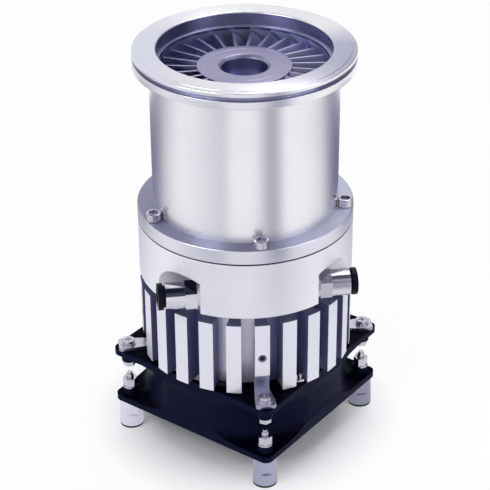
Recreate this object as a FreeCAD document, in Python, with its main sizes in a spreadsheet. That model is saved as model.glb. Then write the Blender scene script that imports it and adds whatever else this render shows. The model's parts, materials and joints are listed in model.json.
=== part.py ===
"""Turbomolecular pump with an ISO-K inlet, water and air cooled base, standing on its cooling fan.

The part frame: +Z up, origin on the floor under the rotor axis, -Y towards the front bracket.
A clock angle turns about Z from the front (-Y) towards +X. All lengths are in millimetres.
"""

import FreeCAD
import Part
import Sketcher

import math
import os
import re

DOC = FreeCAD.newDocument("turbo_pump")
SHEET = DOC.addObject("Spreadsheet::Sheet", "Sizes")
SHEET.Label = "Sizes"
SIZES = {}
PIECES = []
DRAFT_REACH = 50.0
DRAFT_CORNER = 10.0

DIMENSIONS = {
    "Overall": {
        "body_radius": 65.0,
        "foot_height": 19.5,
        "fan_height": 38.0,
        "fin_clearance": 1.1,
        "fin_height": 47.2,
        "neck_height": 5.2,
        "ring_height": 36.2,
        "casing_height": 108.0,
        "edge_break": 0.5,
        "cut_margin": 1.0,
    },
    "Stand": {
        "pad_radius": 7.4,
        "pad_height": 1.5,
        "foot_top_radius": 6.9,
        "foot_bottom_radius": 7.6,
        "foot_flat_width": 12.4,
        "foot_flat_bottom": 9.0,
        "foot_flat_height": 5.0,
        "stud_tip_radius": 1.5,
        "stud_tip_height": 1.3,
        "stud_above_nut": 4.2,
        "foot_nut_width": 8.0,
        "foot_nut_height": 5.4,
        "foot_washer_radius": 4.6,
        "foot_washer_thickness": 1.0,
    },
    "Fan": {
        "fan_inset": 5.0,
        "fan_hole_inset": 7.5,
        "fan_hole_radius": 2.25,
        "fan_corner_radius": 5.0,
        "fan_ear_thickness": 4.0,
        "fan_side_wall": 2.7,
        "fan_duct_wall": 4.7,
        "fan_flare": 8.0,
        "fan_boss_radius": 4.7,
        "fan_top_boss_drop": 5.5,
        "fan_bottom_boss_rise": 4.5,
        "fan_hub_plate_radius": 23.0,
        "fan_hub_plate_thickness": 3.2,
        "fan_strut_width": 6.0,
        "fan_strut_height": 4.0,
        "fan_strut_count": 4,
        "fan_strut_bite": 1.0,
        "fan_cup_radius": 24.0,
        "fan_cup_wall": 2.8,
        "fan_cup_roof": 3.0,
        "fan_cup_hub_roof": 6.0,
        "fan_cup_edge": 1.0,
        "fan_cup_bottom_gap": 1.6,
        "fan_cup_height": 27.0,
        "fan_blade_count": 7,
        "fan_blade_bite": 2.5,
        "fan_blade_lift": 2.0,
        "fan_blade_thickness": 2.2,
        "fan_blade_height": 21.0,
        "fan_blade_angle": 50.0,
        "fan_tip_gap": 2.4,
        "fan_ring_thickness": 1.6,
        "fan_ring_height": 20.0,
        "fan_air_gap": 1.1,
        "fan_core_height": 17.0,
        "fan_core_lift": 1.5,
        "fan_core_foot_radius": 8.5,
        "fan_core_foot_height": 3.0,
        "fan_shaft_radius": 2.5,
        "fan_shaft_lift": 0.3,
        "fan_sleeve_radius": 4.5,
        "fan_running_gap": 0.04,
        "terminal_inset": 1.7,
        "terminal_width": 2.0,
        "terminal_thickness": 0.8,
        "terminal_height": 3.5,
        "terminal_spacing": 3.6,
        "terminal_block_width": 6.4,
        "terminal_block_depth": 3.4,
        "terminal_block_height": 2.4,
    },
    "Brackets": {
        "bracket_count": 4,
        "bracket_thickness": 2.2,
        "bracket_leg_thickness": 2.0,
        "bracket_leg_width": 9.2,
        "bracket_leg_inset": 2.0,
        "bracket_leg_height": 36.5,
        "bracket_end_margin": 6.25,
        "bracket_foot_width": 12.2,
        "bracket_widening": 6.0,
        "bracket_corner_cut": 1.6,
        "fin_screw_rise": 24.4,
        "fin_screw_head_radius": 2.6,
        "fin_screw_radius": 1.45,
        "fin_screw_head_height": 1.7,
        "fin_screw_reach": 6.0,
        "foot_screw_radius": 2.0,
        "foot_screw_head_radius": 3.7,
        "foot_screw_head_height": 2.4,
        "foot_screw_washer_radius": 4.5,
        "foot_screw_washer_thickness": 0.6,
        "foot_screw_nut_width": 7.0,
        "foot_screw_nut_height": 3.4,
        "foot_screw_end": 0.6,
        "cross_length": 4.4,
        "cross_width": 1.0,
        "cross_depth": 1.3,
        "screw_clearance": 0.05,
        "slit_width": 12.0,
    },
    "Cooler": {
        "fin_count": 24,
        "fin_gap": 8.0,
        "cooler_land": 8.5,
        "cooler_wall": 6.0,
        "cooler_web": 10.0,
        "slot_end_gap": 0.3,
        "short_fin_rise": 12.1,
        "slot_clearance": 0.05,
        "cooler_screw_count": 6,
        "cooler_screw_bite": 7.0,
        "cooler_screw_head_radius": 3.8,
    },
    "Base": {
        "neck_depth": 11.0,
        "floor_thickness": 9.2,
        "chamber_step_depth": 13.2,
        "chamber_step_width": 8.9,
        "drum_side_gap": 1.0,
        "tower_wall": 7.0,
        "pocket_depth": 30.0,
        "pocket_radius": 14.5,
        "fitting_inset": 19.0,
        "fitting_rise": 9.0,
        "coolant_bore_radius": 3.5,
    },
    "Fittings": {
        "fitting_washer_thickness": 1.5,
        "fitting_washer_radius": 8.6,
        "fitting_thread_radius": 6.5,
        "fitting_thread_length": 8.0,
        "fitting_hex_width": 17.0,
        "fitting_hex_length": 7.0,
        "fitting_body_radius": 8.0,
        "fitting_body_length": 19.8,
        "tube_radius": 5.05,
        "tube_seat_depth": 14.0,
        "collar_sleeve_inset": 1.5,
        "collar_sleeve_length": 5.5,
        "collar_flange_radius": 8.1,
        "collar_flange_thickness": 3.3,
        "collar_travel": 1.0,
        "collar_gap": 0.2,
        "collar_bore_clearance": 0.1,
        "sliding_gap": 0.05,
        "tube_seal_inset": 0.8,
        "tube_seal_width": 2.0,
    },
    "Casing": {
        "casing_flange_thickness": 9.4,
        "tube_overhang": 9.4,
        "casing_wall": 3.0,
        "flange_thickness": 10.3,
        "rim_thickness": 2.8,
        "rim_groove_width": 2.7,
        "rim_groove_depth": 2.5,
        "face_step_width": 3.0,
        "face_step": 0.3,
        "inlet_wall_step": 1.6,
        "inlet_chamfer": 0.6,
        "inlet_depth": 8.5,
        "ledge_width": 3.0,
        "ledge_thickness": 2.0,
        "casing_screw_count": 5,
        "seal_groove_inset": 9.0,
        "seal_groove_width": 2.4,
        "seal_groove_depth": 1.9,
        "seal_squeeze": 0.1,
        "seal_side_gap": 0.2,
    },
    "Screws": {
        "screw_radius": 2.45,
        "screw_head_radius": 4.2,
        "screw_head_height": 5.0,
        "screw_socket_width": 4.0,
        "screw_socket_depth": 2.6,
        "screw_reach": 9.0,
        "small_screw_radius": 1.45,
        "small_screw_head_radius": 2.75,
        "small_screw_head_height": 3.0,
        "small_screw_socket_width": 2.5,
        "small_screw_socket_depth": 1.5,
        "small_screw_reach": 6.0,
        "trim_socket_width": 2.0,
        "trim_socket_depth": 1.0,
        "hole_clearance": 0.25,
    },
    "Rotor": {
        "rotor_depth": 11.7,
        "recess_radius": 13.3,
        "recess_mouth_step": 1.9,
        "recess_mouth_depth": 1.6,
        "recess_depth": 21.5,
        "web_thickness": 10.0,
        "bell_gap": 2.0,
        "upper_hub_radius": 27.7,
        "middle_hub_step": 2.8,
        "lower_hub_step": 2.0,
        "hub_lift": 0.5,
        "drum_web": 4.0,
        "drum_lift": 4.8,
        "drum_wall": 3.0,
        "tip_gap": 1.0,
        "blade_root_bite": 1.5,
        "blade_thickness": 1.2,
        "blade_drop": 0.4,
        "stage_gap": 1.6,
        "top_blade_height": 8.0,
        "top_blade_count": 27,
        "top_blade_angle": 40.0,
        "second_blade_height": 5.5,
        "second_blade_count": 27,
        "third_blade_height": 5.0,
        "third_blade_count": 24,
        "fourth_blade_height": 4.0,
        "fourth_blade_count": 24,
        "lower_blade_angle": 32.0,
    },
    "Stator": {
        "stack_gap": 0.05,
        "stator_rim_height": 2.5,
        "spacer_step": 1.0,
        "stator_hub_gap": 0.8,
        "stator_hub_wall": 1.6,
        "stator_blade_bite": 0.5,
        "stator_blade_thickness": 1.0,
        "stator_blade_angle": 34.0,
        "first_stator_height": 5.0,
        "first_stator_blades": 24,
        "second_stator_height": 4.8,
        "second_stator_blades": 24,
        "third_stator_height": 4.4,
        "third_stator_blades": 24,
        "drag_sleeve_wall": 4.45,
        "drag_gap": 0.7,
    },
    "Shaft": {
        "shaft_radius": 8.0,
        "shaft_tail": 2.5,
        "lower_shoulder_length": 5.0,
        "upper_shoulder_length": 4.0,
        "race_shoulder_step": 1.0,
        "upper_journal_radius": 5.0,
        "lower_journal_radius": 4.0,
        "shaft_above_nut": 2.0,
        "nut_width": 16.0,
        "nut_height": 7.0,
        "magnet_thickness": 2.3,
        "magnet_overhang": 1.0,
        "motor_air_gap": 0.7,
        "motor_bottom_gap": 11.0,
        "motor_top_gap": 6.0,
        "winding_height": 8.0,
        "winding_step": 0.7,
    },
    "Bearings": {
        "upper_bearing_width": 8.0,
        "upper_bearing_radius": 13.0,
        "upper_inner_race_radius": 7.2,
        "upper_outer_race_bore": 10.8,
        "lower_bearing_lift": 0.2,
        "lower_bearing_width": 7.0,
        "lower_bearing_radius": 11.0,
        "lower_inner_race_radius": 5.8,
        "lower_outer_race_bore": 9.0,
        "cage_gap": 0.6,
        "cage_height": 4.5,
        "race_land_step": 0.4,
        "retainer_height": 2.0,
        "motor_bore_radius": 17.0,
        "housing_wall": 7.0,
        "housing_neck_wall": 3.5,
        "housing_flange_height": 4.0,
        "housing_flange_step": 0.5,
        "housing_top_gap": 8.5,
        "bearing_depth": 12.5,
        "bearing_shoulder_height": 2.0,
        "housing_gap": 0.05,
        "housing_screw_count": 6,
        "cover_radius": 36.0,
        "cover_gap": 2.5,
        "cover_thickness": 8.0,
        "cover_boss_height": 10.2,
        "cover_screw_inset": 4.5,
        "cover_screw_count": 6,
        "cover_screw_bite": 6.0,
        "cover_recess_step": 1.5,
    },
    "Rear ports": {
        "port_spot_depth": 5.0,
        "port_spot_gap": 0.4,
        "port_bore_radius": 12.0,
        "port_tube_radius": 14.0,
        "port_collar_radius": 15.8,
        "port_collar_thickness": 3.0,
        "port_length": 21.0,
        "port_inner_gap": 1.0,
        "port_hole_reach": 5.0,
        "port_flange_radius": 20.0,
        "port_flange_rim": 2.0,
        "port_flange_taper": 1.8,
        "port_taper_angle": 70.0,
        "connector_angle": 120.0,
        "connector_spot_depth": 4.0,
        "connector_plate_margin": 2.6,
        "connector_plate_thickness": 2.5,
        "connector_shell_radius": 9.0,
        "connector_shell_wall": 1.4,
        "connector_length": 11.0,
        "connector_screw_inset": 2.9,
        "connector_screw_head_height": 1.8,
        "connector_insert_depth": 4.0,
        "connector_pin_count": 7,
        "connector_pin_circle": 4.6,
        "connector_pin_radius": 0.8,
        "connector_pin_length": 3.0,
        "wire_way_inset": 2.6,
    },
}

DERIVED = {
    "Heights from the floor up": {
        "fan_top": "foot_height + fan_height",
        "fin_bottom": "fan_top + fin_clearance",
        "fin_top": "fin_bottom + fin_height",
        "ring_bottom": "fin_top + neck_height",
        "seam_height": "ring_bottom + ring_height",
        "flange_top": "seam_height + casing_height",
        "bracket_leg_top": "fan_top + bracket_leg_height",
        "bracket_slot_top": "bracket_leg_top + slot_end_gap",
        "short_fin_bottom": "fin_bottom + short_fin_rise",
        "fin_screw_height": "fin_bottom + fin_screw_rise",
        "chamber_floor": "fin_top + floor_thickness",
        "chamber_step_height": "seam_height - chamber_step_depth",
        "fitting_height": "ring_bottom + fitting_rise",
        "port_height": "ring_bottom + ring_height / 2",
        "connector_height": "port_height",
    },
    "Radii that follow the body": {
        "fan_width": "2 * (body_radius - fan_inset)",
        "fan_hole_spacing": "fan_width - 2 * fan_hole_inset",
        "corner_distance": "fan_hole_spacing / 2 * sqrt(2)",
        "fan_bore_radius": "fan_width / 2 - fan_side_wall",
        "fan_duct_radius": "fan_bore_radius + fan_duct_wall",
        "fan_flare_start": "fan_flare * (1 - cos(30 * 1 deg))",
        "fan_flare_end": "fan_flare / 2",
        "fan_core_radius": "fan_cup_radius - fan_cup_wall - fan_ring_thickness - fan_air_gap",
        "fan_blade_root": "fan_cup_radius - fan_blade_bite",
        "terminal_distance": "fan_bore_radius + terminal_inset",
        "terminal_clock": "3 * 180 / fin_count",
        "bracket_leg_face": "body_radius - bracket_leg_inset",
        "bracket_foot_end": "corner_distance + bracket_end_margin",
        "cooler_bore_radius": "cover_radius + cover_gap",
        "cooler_wall_radius": "cooler_bore_radius + cooler_land",
        "cooler_screw_circle": "(cooler_bore_radius + cooler_wall_radius) / 2",
        "fin_root_radius": "cooler_wall_radius + cooler_wall",
        "neck_radius": "body_radius - neck_depth",
        "pocket_floor": "body_radius - pocket_depth",
        "fitting_offset": "body_radius - fitting_inset",
        "fitting_body_end": "pocket_floor + fitting_body_length",
        "collar_sleeve_radius": "fitting_body_radius - collar_sleeve_inset",
        "tube_seal_radius": "fitting_body_radius - tube_seal_inset",
        "tube_outer_radius": "body_radius - tube_overhang",
        "tube_inner_radius": "tube_outer_radius - casing_wall",
        "face_step_radius": "body_radius - face_step_width",
        "inlet_radius": "tube_inner_radius - inlet_wall_step",
        "ledge_radius": "tube_inner_radius - ledge_width",
        "casing_screw_circle": "body_radius - tube_overhang / 2",
        "seal_groove_radius": "body_radius - seal_groove_inset",
    },
    "Rotor and stator stack": {
        "rotor_top": "flange_top - rotor_depth",
        "recess_mouth_radius": "recess_radius + recess_mouth_step",
        "web_top": "rotor_top - recess_depth",
        "web_bottom": "web_top - web_thickness",
        "first_stator_top": "rotor_top - blade_drop - top_blade_height - stage_gap",
        "second_blade_top": "first_stator_top - first_stator_height - stage_gap",
        "second_stator_top": "second_blade_top - second_blade_height - stage_gap",
        "third_blade_top": "second_stator_top - second_stator_height - stage_gap",
        "third_stator_top": "third_blade_top - third_blade_height - stage_gap",
        "fourth_blade_top": "third_stator_top - third_stator_height - stage_gap",
        "drag_stator_top": "fourth_blade_top - fourth_blade_height - stage_gap",
        "drum_top": "drag_stator_top - stage_gap / 2",
        "drum_bottom": "seam_height + drum_lift",
        "middle_hub_radius": "upper_hub_radius + middle_hub_step",
        "lower_hub_radius": "middle_hub_radius + lower_hub_step",
        "middle_hub_top": "second_blade_top + hub_lift",
        "lower_hub_top": "third_blade_top + hub_lift",
        "tip_radius": "ledge_radius - tip_gap",
        "drum_radius": "tube_inner_radius - stack_gap - drag_sleeve_wall - drag_gap",
        "chamber_top_radius": "drum_radius + drum_side_gap",
        "chamber_radius": "chamber_top_radius - chamber_step_width",
    },
    "Bearings and motor": {
        "tower_bore_radius": "motor_bore_radius + housing_wall",
        "tower_radius": "tower_bore_radius + tower_wall",
        "housing_screw_circle": "(tower_bore_radius + tower_radius) / 2",
        "housing_flange_radius": "tower_radius - housing_flange_step",
        "housing_neck_radius": "motor_bore_radius + housing_neck_wall",
        "bell_radius": "housing_neck_radius + bell_gap",
        "housing_top": "web_bottom - housing_top_gap",
        "upper_bearing_bottom": "housing_top - bearing_depth",
        "lower_bearing_bottom": "fin_top + lower_bearing_lift",
        "shaft_bottom": "lower_bearing_bottom - shaft_tail",
        "shaft_body_bottom": "lower_bearing_bottom + lower_bearing_width + lower_shoulder_length",
        "shaft_body_top": "upper_bearing_bottom - upper_shoulder_length",
        "shaft_shoulder_radius": "upper_inner_race_radius - race_shoulder_step",
        "lower_shoulder_radius": "lower_inner_race_radius - race_land_step",
        "spacer_radius": "upper_inner_race_radius + race_land_step",
        "shaft_top": "web_top + nut_height + shaft_above_nut",
        "cover_boss_top": "fin_top + cover_boss_height",
        "motor_bottom": "cover_boss_top + motor_bottom_gap + winding_height",
        "motor_top": "upper_bearing_bottom - bearing_shoulder_height - motor_top_gap - winding_height",
        "magnet_radius": "shaft_radius + magnet_thickness",
        "motor_inner_radius": "magnet_radius + motor_air_gap",
        "winding_inner_radius": "motor_inner_radius + winding_step",
        "winding_outer_radius": "motor_bore_radius - winding_step",
        "bearing_shoulder_radius": "upper_outer_race_bore + race_land_step",
        "retainer_bore_radius": "upper_outer_race_bore + race_land_step",
        "cover_recess_radius": "lower_journal_radius + cover_recess_step",
        "cover_screw_circle": "cover_radius - cover_screw_inset",
    },
    "Ports": {
        "port_face": "body_radius - port_spot_depth",
        "port_inner_end": "chamber_radius + port_inner_gap",
        "port_hole_end": "chamber_radius - port_hole_reach",
        "port_end": "port_face + port_length",
        "connector_face": "body_radius - connector_spot_depth",
        "connector_plate_width": "2 * (connector_shell_radius + connector_plate_margin)",
        "connector_screw_spacing": "connector_plate_width - 2 * connector_screw_inset",
        "connector_spot_radius": "connector_plate_width / 2 * sqrt(2) + port_spot_gap",
        "wire_way_radius": "connector_shell_radius - wire_way_inset",
    },
}


def fill_sheet():
    """Write every driving dimension to the spreadsheet, then the sizes that follow from them."""
    row = 1
    for groups, lead in ((DIMENSIONS, ""), (DERIVED, "=")):
        for group, values in groups.items():
            SHEET.set("A%d" % row, group)
            row += 1
            for alias, value in values.items():
                SHEET.set("A%d" % row, alias.replace("_", " "))
                SHEET.set("B%d" % row, lead + str(value))
                SHEET.setAlias("B%d" % row, alias)
                SIZES[alias] = value
                row += 1
        DOC.recompute()


def bound(text):
    """Turn a formula in plain aliases into one that points at the sheet's cells."""
    return re.sub(r"[a-z_]+[a-z_0-9]*",
                  lambda m: "Sizes." + m.group(0) if m.group(0) in SIZES else m.group(0), text)


class Piece:
    """One body of the pump, with short calls for the sketches and features it is made of."""

    def __init__(self, label, turn=None, place=("0", "0", "0")):
        self.label = label
        self.body = DOC.addObject("PartDesign::Body", label)
        self.body.Label = label
        self.count = 0
        self.volume = 0.0
        for axis, formula in zip("xyz", place):
            if formula != "0":
                self.body.setExpression("Placement.Base." + axis, bound(formula))
        if turn is not None:
            upright = FreeCAD.Vector(0, 0, 1)
            self.body.Placement = FreeCAD.Placement(FreeCAD.Vector(), FreeCAD.Rotation(upright, turn))
        PIECES.append(self)

    def origin(self, role):
        """The body's own origin plane or axis with that role."""
        return [feature for feature in self.body.Origin.OriginFeatures if feature.Role == role][0]

    def new(self, kind, name):
        """A new feature, numbered so that its name is its own in the document."""
        self.count += 1
        return self.body.newObject(kind, "%s_%s_%d" % (self.label, name, self.count))

    def sketch(self, role):
        """An empty sketch on one of the body's origin planes."""
        sketch = self.new("Sketcher::SketchObject", "sketch")
        sketch.AttachmentSupport = [(self.origin(role), "")]
        sketch.MapMode = "FlatFace"
        return sketch

    def section(self):
        """A sketch of (radius, height) to be turned about the Z axis."""
        return self.sketch("XZ_Plane")

    def side(self):
        """A sketch of (Y, height), seen along X."""
        return self.sketch("YZ_Plane")

    def level(self, height):
        """A sketch of (X, Y) at a height."""
        sketch = self.sketch("XY_Plane")
        sketch.setExpression("AttachmentOffset.Base.z", bound(height))
        return sketch

    def facing(self, clock, distance):
        """A sketch on an upright plane that faces outwards at a clock angle, at a distance from the axis."""
        sketch = self.sketch("XZ_Plane")
        turn = FreeCAD.Rotation(FreeCAD.Vector(0, 1, 0), 1.0)
        sketch.AttachmentOffset = FreeCAD.Placement(FreeCAD.Vector(), turn)
        sketch.setExpression("AttachmentOffset.Rotation.Angle", bound("(%s) * 1 deg" % clock))
        sketch.setExpression("AttachmentOffset.Base.x", bound("(%s) * sin((%s) * 1 deg)" % (distance,
                                                                                            clock)))
        sketch.setExpression("AttachmentOffset.Base.z", bound("(%s) * cos((%s) * 1 deg)" % (distance,
                                                                                            clock)))
        return sketch

    def outline(self, sketch, points):
        """A closed outline of straight lines, each corner held by two bound distances."""
        total = len(points)
        first = sketch.GeometryCount
        for step in range(total):
            ends = []
            for corner in (step, step + 1):
                angle = 2 * math.pi * corner / total
                ends.append(FreeCAD.Vector(DRAFT_REACH * math.cos(angle), DRAFT_REACH * math.sin(angle), 0))
            sketch.addGeometry(Part.LineSegment(ends[0], ends[1]), False)
        for step in range(total):
            following = first + (step + 1) % total
            sketch.addConstraint(Sketcher.Constraint("Coincident", first + step, 2, following, 1))
        for step, (across, up) in enumerate(points):
            self.hold(sketch, first + step, 1, across, up)
        return sketch

    def hold(self, sketch, geometry, point, across, up):
        """Hold one point of a sketch at two formulas."""
        for kind, formula in (("DistanceX", across), ("DistanceY", up)):
            index = sketch.addConstraint(Sketcher.Constraint(kind, geometry, point, 1.0))
            sketch.setExpression("Constraints[%d]" % index, bound(formula))

    def circle(self, sketch, across, up, radius):
        """A circle with its centre and radius bound."""
        index = sketch.addGeometry(Part.Circle(FreeCAD.Vector(1, 1, 0), FreeCAD.Vector(0, 0, 1), 3.0), False)
        held = sketch.addConstraint(Sketcher.Constraint("Radius", index, 3.0))
        sketch.setExpression("Constraints[%d]" % held, bound(radius))
        self.hold(sketch, index, 3, across, up)
        return sketch

    def hexagon(self, sketch, across, up, width):
        """A hexagon of a width across its flats."""
        corners = []
        for corner in range(6):
            reach = "(%s) / 2 / cos(30 deg)" % width
            angle = "%d deg" % (60 * corner + 30)
            corners.append(("%s + %s * cos(%s)" % (across, reach, angle), "%s + %s * sin(%s)" % (up, reach,
                                                                                                 angle)))
        return self.outline(sketch, corners)

    def rectangle(self, sketch, left, right, low, high):
        """A rectangle between four formulas."""
        return self.outline(sketch, [(left, low), (right, low), (right, high), (left, high)])

    def rounded_square(self, sketch, width, radius):
        """A square on the origin with rounded corners."""
        half = "(%s) / 2" % width
        inner = "(%s) / 2 - (%s)" % (width, radius)
        first = sketch.GeometryCount
        signs = [(1, 1), (-1, 1), (-1, -1), (1, -1)]
        for quarter, (sx, sy) in enumerate(signs):
            centre = FreeCAD.Vector(DRAFT_REACH * sx, DRAFT_REACH * sy, 0)
            start = quarter * math.pi / 2
            corner = Part.Circle(centre, FreeCAD.Vector(0, 0, 1), DRAFT_CORNER)
            arc = Part.ArcOfCircle(corner, start, start + math.pi / 2)
            sketch.addGeometry(arc, False)
        for quarter, (sx, sy) in enumerate(signs):
            here = first + quarter
            following = first + (quarter + 1) % 4
            line = Part.LineSegment(sketch.getPoint(here, 2), sketch.getPoint(following, 1))
            side = sketch.addGeometry(line, False)
            sketch.addConstraint(Sketcher.Constraint("Coincident", here, 2, side, 1))
            sketch.addConstraint(Sketcher.Constraint("Coincident", side, 2, following, 1))
            self.hold(sketch, here, 3, "%d * (%s)" % (sx, inner), "%d * (%s)" % (sy, inner))
            level = "Horizontal" if quarter % 2 == 0 else "Vertical"
            sketch.addConstraint(Sketcher.Constraint(level, side))
        for quarter in range(4):
            axis = ("DistanceX", "DistanceY") if quarter % 2 == 0 else ("DistanceY", "DistanceX")
            sign = (1, 1, -1, -1)[quarter]
            start = sketch.addConstraint(Sketcher.Constraint(axis[0], first + quarter, 1,
                                                             DRAFT_REACH * sign))
            sketch.setExpression("Constraints[%d]" % start, bound("%d * (%s)" % (sign, half)))
            level = (1, -1, -1, 1)[quarter]
            across = sketch.addConstraint(Sketcher.Constraint(axis[1], first + quarter, 1,
                                                              DRAFT_REACH * level))
            sketch.setExpression("Constraints[%d]" % across, bound("%d * (%s)" % (level, inner)))
        return sketch

    def finish(self, feature, removes=False):
        """Recompute, and stop if the feature failed or cut nothing."""
        before = self.volume
        DOC.recompute()
        if not feature.isValid():
            raise RuntimeError("%s failed: %s" % (feature.Name, feature.State))
        self.volume = self.body.Shape.Volume
        if removes and self.volume >= before - 1e-6:
            raise RuntimeError("%s cuts nothing" % feature.Name)
        return feature

    def pad(self, sketch, length, back=False, both=False):
        """Pad a sketch along its normal, against it, or half each way."""
        feature = self.new("PartDesign::Pad", "pad")
        feature.Profile = sketch
        feature.setExpression("Length", bound(length))
        feature.Reversed = back
        feature.Midplane = both
        return self.finish(feature)

    def pocket(self, sketch, length, forward=False, both=False):
        """Cut a sketch against its normal, along it, or half each way."""
        feature = self.new("PartDesign::Pocket", "pocket")
        feature.Profile = sketch
        feature.setExpression("Length", bound(length))
        feature.Reversed = forward
        feature.Midplane = both
        return self.finish(feature, removes=True)

    def revolve(self, points):
        """A ring or a turned solid from its (radius, height) outline."""
        sketch = self.outline(self.section(), points)
        feature = self.new("PartDesign::Revolution", "turned")
        feature.Profile = sketch
        feature.ReferenceAxis = (sketch, ["V_Axis"])
        feature.Angle = 360
        return self.finish(feature)

    def groove(self, points):
        """A turned cut from its (radius, height) outline."""
        sketch = self.outline(self.section(), points)
        feature = self.new("PartDesign::Groove", "groove")
        feature.Profile = sketch
        feature.ReferenceAxis = (sketch, ["V_Axis"])
        feature.Angle = 360
        return self.finish(feature, removes=True)

    def repeat(self, features, count):
        """Repeat features evenly about the Z axis."""
        pattern = self.new("PartDesign::PolarPattern", "around")
        pattern.Originals = features
        pattern.Axis = (self.origin("Z_Axis"), [""])
        pattern.Angle = 360
        pattern.setExpression("Occurrences", bound(count))
        self.body.Tip = pattern
        return self.finish(pattern)


def ring(label, inner, outer, low, high):
    """A plain ring between two radii and two heights."""
    piece = Piece(label)
    piece.revolve([(inner, low), (outer, low), (outer, high), (inner, high)])
    return piece


def screw_set(label, circle, count, seat, head_radius, head_height, radius, reach, socket, socket_depth,
              down=True):
    """Socket head screws on a circle, heads on the seat height, shanks down or up from it."""
    piece = Piece(label)
    where = "-(%s)" % circle
    head = piece.pad(piece.circle(piece.level(seat), "0", where, head_radius), head_height, back=not down)
    shank = piece.pad(piece.circle(piece.level(seat), "0", where, radius), reach, back=down)
    top = "%s + %s" % (seat, head_height) if down else "%s - (%s)" % (seat, head_height)
    recess = piece.pocket(piece.hexagon(piece.level(top), "0", where, socket), socket_depth,
                          forward=not down)
    piece.repeat([head, shank, recess], count)
    return piece


def holes(piece, circle, count, radius, start, depth, up=False):
    """Round holes on a circle, cut down from a height, or up from it."""
    cut = piece.pocket(piece.circle(piece.level(start), "0", "-(%s)" % circle, radius), depth, forward=up)
    return piece.repeat([cut], count)


OUTSIDE = "(body_radius + cut_margin)"
HALF_SPACING = "connector_screw_spacing / 2"
SOCKET_CORNERS = [
    (across + HALF_SPACING, "connector_height %s %s" % (rise, HALF_SPACING))
    for across in ("", "-") for rise in ("+", "-")
]


def make_feet():
    """Four turned feet with spanner flats, each on a rubber pad and held by a stud through the fan's ear."""
    pads = Piece("foot_pads")
    pad = pads.pad(pads.circle(pads.level("0"), "0", "-corner_distance", "pad_radius"), "pad_height")
    pads.repeat([pad], "bracket_count")

    feet = Piece("feet")
    axis = "-corner_distance"
    sketch = feet.outline(feet.side(), [
        (axis, "pad_height"), (axis, "foot_height"),
        (axis + " + foot_top_radius", "foot_height"), (axis + " + foot_bottom_radius", "pad_height")])
    turned = feet.new("PartDesign::Revolution", "turned")
    turned.Profile = sketch
    turned.ReferenceAxis = (sketch, ["Edge1"])
    turned.Angle = 360
    feet.finish(turned)
    flats = feet.level("foot_flat_bottom")
    for sign in ("", "-"):
        inner = "%s(foot_flat_width / 2)" % sign
        outer = "%s(foot_flat_width / 2 + foot_bottom_radius)" % sign
        low = axis + " - foot_bottom_radius"
        high = axis + " + foot_bottom_radius"
        feet.rectangle(flats, inner, outer, low, high)
    flat_cut = feet.pocket(flats, "foot_flat_height", forward=True)
    feet.repeat([turned, flat_cut], "bracket_count")

    boss_top = "(foot_height + fan_ear_thickness + fan_bottom_boss_rise)"
    nut_bottom = "(%s + foot_washer_thickness)" % boss_top
    nut_top = "(%s + foot_nut_height)" % nut_bottom
    studs = Piece("foot_studs")
    shank_top = "(%s + stud_above_nut - stud_tip_height)" % nut_top
    shank = studs.pad(studs.circle(studs.level("foot_height"), "0", axis,
                                   "fan_hole_radius - screw_clearance"),
                      shank_top + " - foot_height")
    tip = studs.pad(studs.circle(studs.level(shank_top), "0", axis, "stud_tip_radius"), "stud_tip_height")
    studs.repeat([shank, tip], "bracket_count")

    washers = Piece("foot_washers")
    disc = washers.level(boss_top)
    washers.circle(disc, "0", axis, "foot_washer_radius")
    washers.circle(disc, "0", axis, "fan_hole_radius")
    washers.repeat([washers.pad(disc, "foot_washer_thickness")], "bracket_count")

    nuts = Piece("foot_nuts")
    blank = nuts.level(nut_bottom)
    nuts.hexagon(blank, "0", axis, "foot_nut_width")
    nuts.circle(blank, "0", axis, "fan_hole_radius")
    nuts.repeat([nuts.pad(blank, "foot_nut_height")], "bracket_count")


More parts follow.
